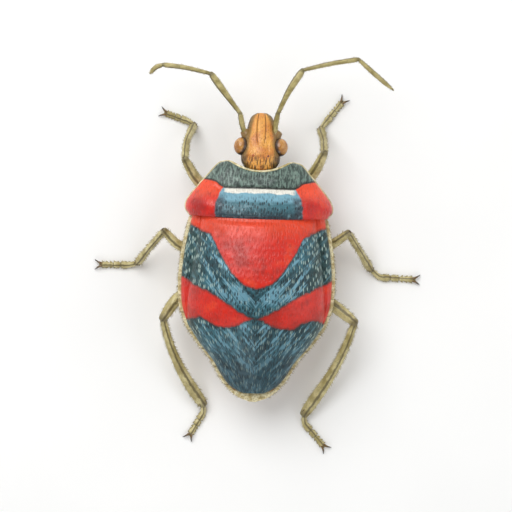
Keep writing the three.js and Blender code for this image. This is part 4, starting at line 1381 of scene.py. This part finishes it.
def make_stage():
    scene = bpy.context.scene
    size = FLOOR_REACH * MM
    mesh = bpy.data.meshes.new("studio_floor")
    corners = [(-size, -size, 0), (size, -size, 0), (size, size, 0), (-size, size, 0)]
    mesh.from_pydata(corners, [], [(0, 1, 2, 3)])
    mesh.materials.append(material(rolled_paper))
    floor = bpy.data.objects.new("studio_floor", mesh)
    scene.collection.objects.link(floor)
    for name, facts in LIGHTS.items():
        lamp_data = bpy.data.lights.new(name, "AREA")
        lamp_data.shape = "DISK"
        lamp_data.size = facts["size"] * MM
        lamp_data.energy = facts["power"]
        lamp = bpy.data.objects.new(name, lamp_data)
        scene.collection.objects.link(lamp)
        lamp.location = [c * MM for c in facts["place"]]
        aim(lamp, frame["bodies"]["root"].location.copy())
    scene.world = make_studio_walls()
    scene.view_settings.view_transform = "Standard"
    scene.view_settings.look = "None"
    make_camera()


# Settings

def colour_setting(name, description, colour):
    """A colour that a user may change, with its default as an sRGB hex value."""
    return bpy.props.FloatVectorProperty(
        name=name, description=description, default=linear(colour), size=4, min=0.0, max=1.0, subtype="COLOR")


class ShieldBugSizes(bpy.types.PropertyGroup):
    pit_spacing: bpy.props.FloatProperty(
        name="Pit Spacing", description="Distance between neighbouring rows of pits on the back",
        default=0.2 * MM, min=0.1 * MM, max=MM, precision=5, unit="LENGTH")
    pit_length: bpy.props.FloatProperty(
        name="Pit Length", description="Distance from pit to pit along a row",
        default=0.62 * MM, min=0.1 * MM, max=2 * MM, precision=5, unit="LENGTH")
    bristle_length: bpy.props.FloatProperty(
        name="Bristle Length", description="Length of the bristles on a tibia; the others follow it",
        default=0.3 * MM, min=0.05 * MM, max=MM, precision=5, unit="LENGTH")
    bristles_per_mm: bpy.props.IntProperty(
        name="Bristles per Millimetre", default=60, min=0, max=150,
        description="Bristles on each millimetre of a tibia; the others follow it")
    seed: bpy.props.IntProperty(
        name="Seed", description="Starts the random places and lengths of the bristles", default=7, min=0)


class ShieldBugColours(bpy.types.PropertyGroup):
    shell_blue: colour_setting("Shell Blue", "Main blue of the shield and the pronotum", "386a76")
    streak_blue: colour_setting("Streak Blue", "Light blue of the streaks and the pronotum's front", "76a9bc")
    shell_red: colour_setting("Shell Red", "Red of the lobes, the base band and the side patches", "cf1402")
    # Orange of the painted highlight on the red parts.
    shell_orange: colour_setting("Shell Orange", "Orange-red where the red is lightest", "ef4a1c")
    collar_slate: colour_setting("Collar Slate", "Grey-green of the collar", "6c8278")
    edge_ivory: colour_setting("Edge Ivory", "Ivory of the rim and of the beads along the edges", "e6dcb4")
    head_ochre: colour_setting("Head Ochre", "Orange ochre of the top of the head", "e9a648")
    leg_olive: colour_setting("Leg Olive", "Palest olive-gold of the legs", "d2c690")
    belly_ochre: colour_setting("Belly Ochre", "Ochre of the underside", "bd9150")


def sizes():
    return bpy.context.scene.shield_bug_sizes


def colours():
    return bpy.context.scene.shield_bug_colours


# Operators

class SHIELDBUG_OT_shield(bpy.types.Operator):
    """Build the great dome of the scutellum, with its bands"""

    bl_idname = "shield_bug.shield"
    bl_label = "Build Shield"

    def execute(self, context):
        make_shield()
        return {"FINISHED"}


class SHIELDBUG_OT_pronotum(bpy.types.Operator):
    """Build the pronotum, with its collar, furrow and shoulders"""

    bl_idname = "shield_bug.pronotum"
    bl_label = "Build Pronotum"

    def execute(self, context):
        make_pronotum()
        return {"FINISHED"}


class SHIELDBUG_OT_forewings(bpy.types.Operator):
    """Build the edges of the forewings that show beside the shield"""

    bl_idname = "shield_bug.forewings"
    bl_label = "Build Forewings"

    def execute(self, context):
        make_wing_edges()
        return {"FINISHED"}


class SHIELDBUG_OT_underside(bpy.types.Operator):
    """Build the breast, the belly with its ivory rim, and the bristles along the body's edge"""

    bl_idname = "shield_bug.underside"
    bl_label = "Build Underside"

    def execute(self, context):
        make_underside()
        make_fringes()
        return {"FINISHED"}


class SHIELDBUG_OT_head(bpy.types.Operator):
    """Build the head with its middle lobe, antenna knobs and ocelli"""

    bl_idname = "shield_bug.head"
    bl_label = "Build Head"

    def execute(self, context):
        make_head()
        return {"FINISHED"}


class SHIELDBUG_OT_eyes(bpy.types.Operator):
    """Build the two compound eyes"""

    bl_idname = "shield_bug.eyes"
    bl_label = "Build Eyes"

    def execute(self, context):
        make_eyes()
        return {"FINISHED"}


class SHIELDBUG_OT_beak(bpy.types.Operator):
    """Build the jointed beak, folded back under the body"""

    bl_idname = "shield_bug.beak"
    bl_label = "Build Beak"

    def execute(self, context):
        make_beak()
        return {"FINISHED"}


class SHIELDBUG_OT_antennae(bpy.types.Operator):
    """Build both antennae and their down"""

    bl_idname = "shield_bug.antennae"
    bl_label = "Build Antennae"

    def execute(self, context):
        make_antennae()
        return {"FINISHED"}


class SHIELDBUG_OT_legs(bpy.types.Operator):
    """Build the six legs with their feet, claws and bristles"""

    bl_idname = "shield_bug.legs"
    bl_label = "Build Legs"

    def execute(self, context):
        make_legs()
        return {"FINISHED"}


class SHIELDBUG_OT_stage(bpy.types.Operator):
    """Set up the floor, the lights and the camera"""

    bl_idname = "shield_bug.stage"
    bl_label = "Set Up Stage"

    def execute(self, context):
        make_stage()
        return {"FINISHED"}


OPERATORS = (
    SHIELDBUG_OT_shield,
    SHIELDBUG_OT_pronotum,
    SHIELDBUG_OT_forewings,
    SHIELDBUG_OT_underside,
    SHIELDBUG_OT_head,
    SHIELDBUG_OT_eyes,
    SHIELDBUG_OT_beak,
    SHIELDBUG_OT_antennae,
    SHIELDBUG_OT_legs,
    SHIELDBUG_OT_stage,
)


class SHIELDBUG_PT_panel(bpy.types.Panel):
    """Sizes, colours and building steps of the shield bug"""

    bl_label = "Shield Bug"
    bl_space_type = "VIEW_3D"
    bl_region_type = "UI"
    bl_category = "Shield Bug"

    def draw(self, context):
        for group in (sizes(), colours()):
            for setting in group.__annotations__:
                self.layout.prop(group, setting)
        for operator in OPERATORS:
            self.layout.operator(operator.bl_idname)


CLASSES = (ShieldBugSizes, ShieldBugColours, *OPERATORS, SHIELDBUG_PT_panel)


def register():
    for cls in CLASSES:
        bpy.utils.register_class(cls)
    bpy.types.Scene.shield_bug_sizes = bpy.props.PointerProperty(type=ShieldBugSizes)
    bpy.types.Scene.shield_bug_colours = bpy.props.PointerProperty(type=ShieldBugColours)


def unregister():
    del bpy.types.Scene.shield_bug_colours
    del bpy.types.Scene.shield_bug_sizes
    for cls in reversed(CLASSES):
        bpy.utils.unregister_class(cls)


def main():
    register()
    bpy.ops.shield_bug.shield()
    bpy.ops.shield_bug.pronotum()
    bpy.ops.shield_bug.forewings()
    bpy.ops.shield_bug.underside()
    bpy.ops.shield_bug.head()
    bpy.ops.shield_bug.eyes()
    bpy.ops.shield_bug.beak()
    bpy.ops.shield_bug.antennae()
    bpy.ops.shield_bug.legs()
    bpy.ops.shield_bug.stage()


if __name__ == "__main__":
    main()
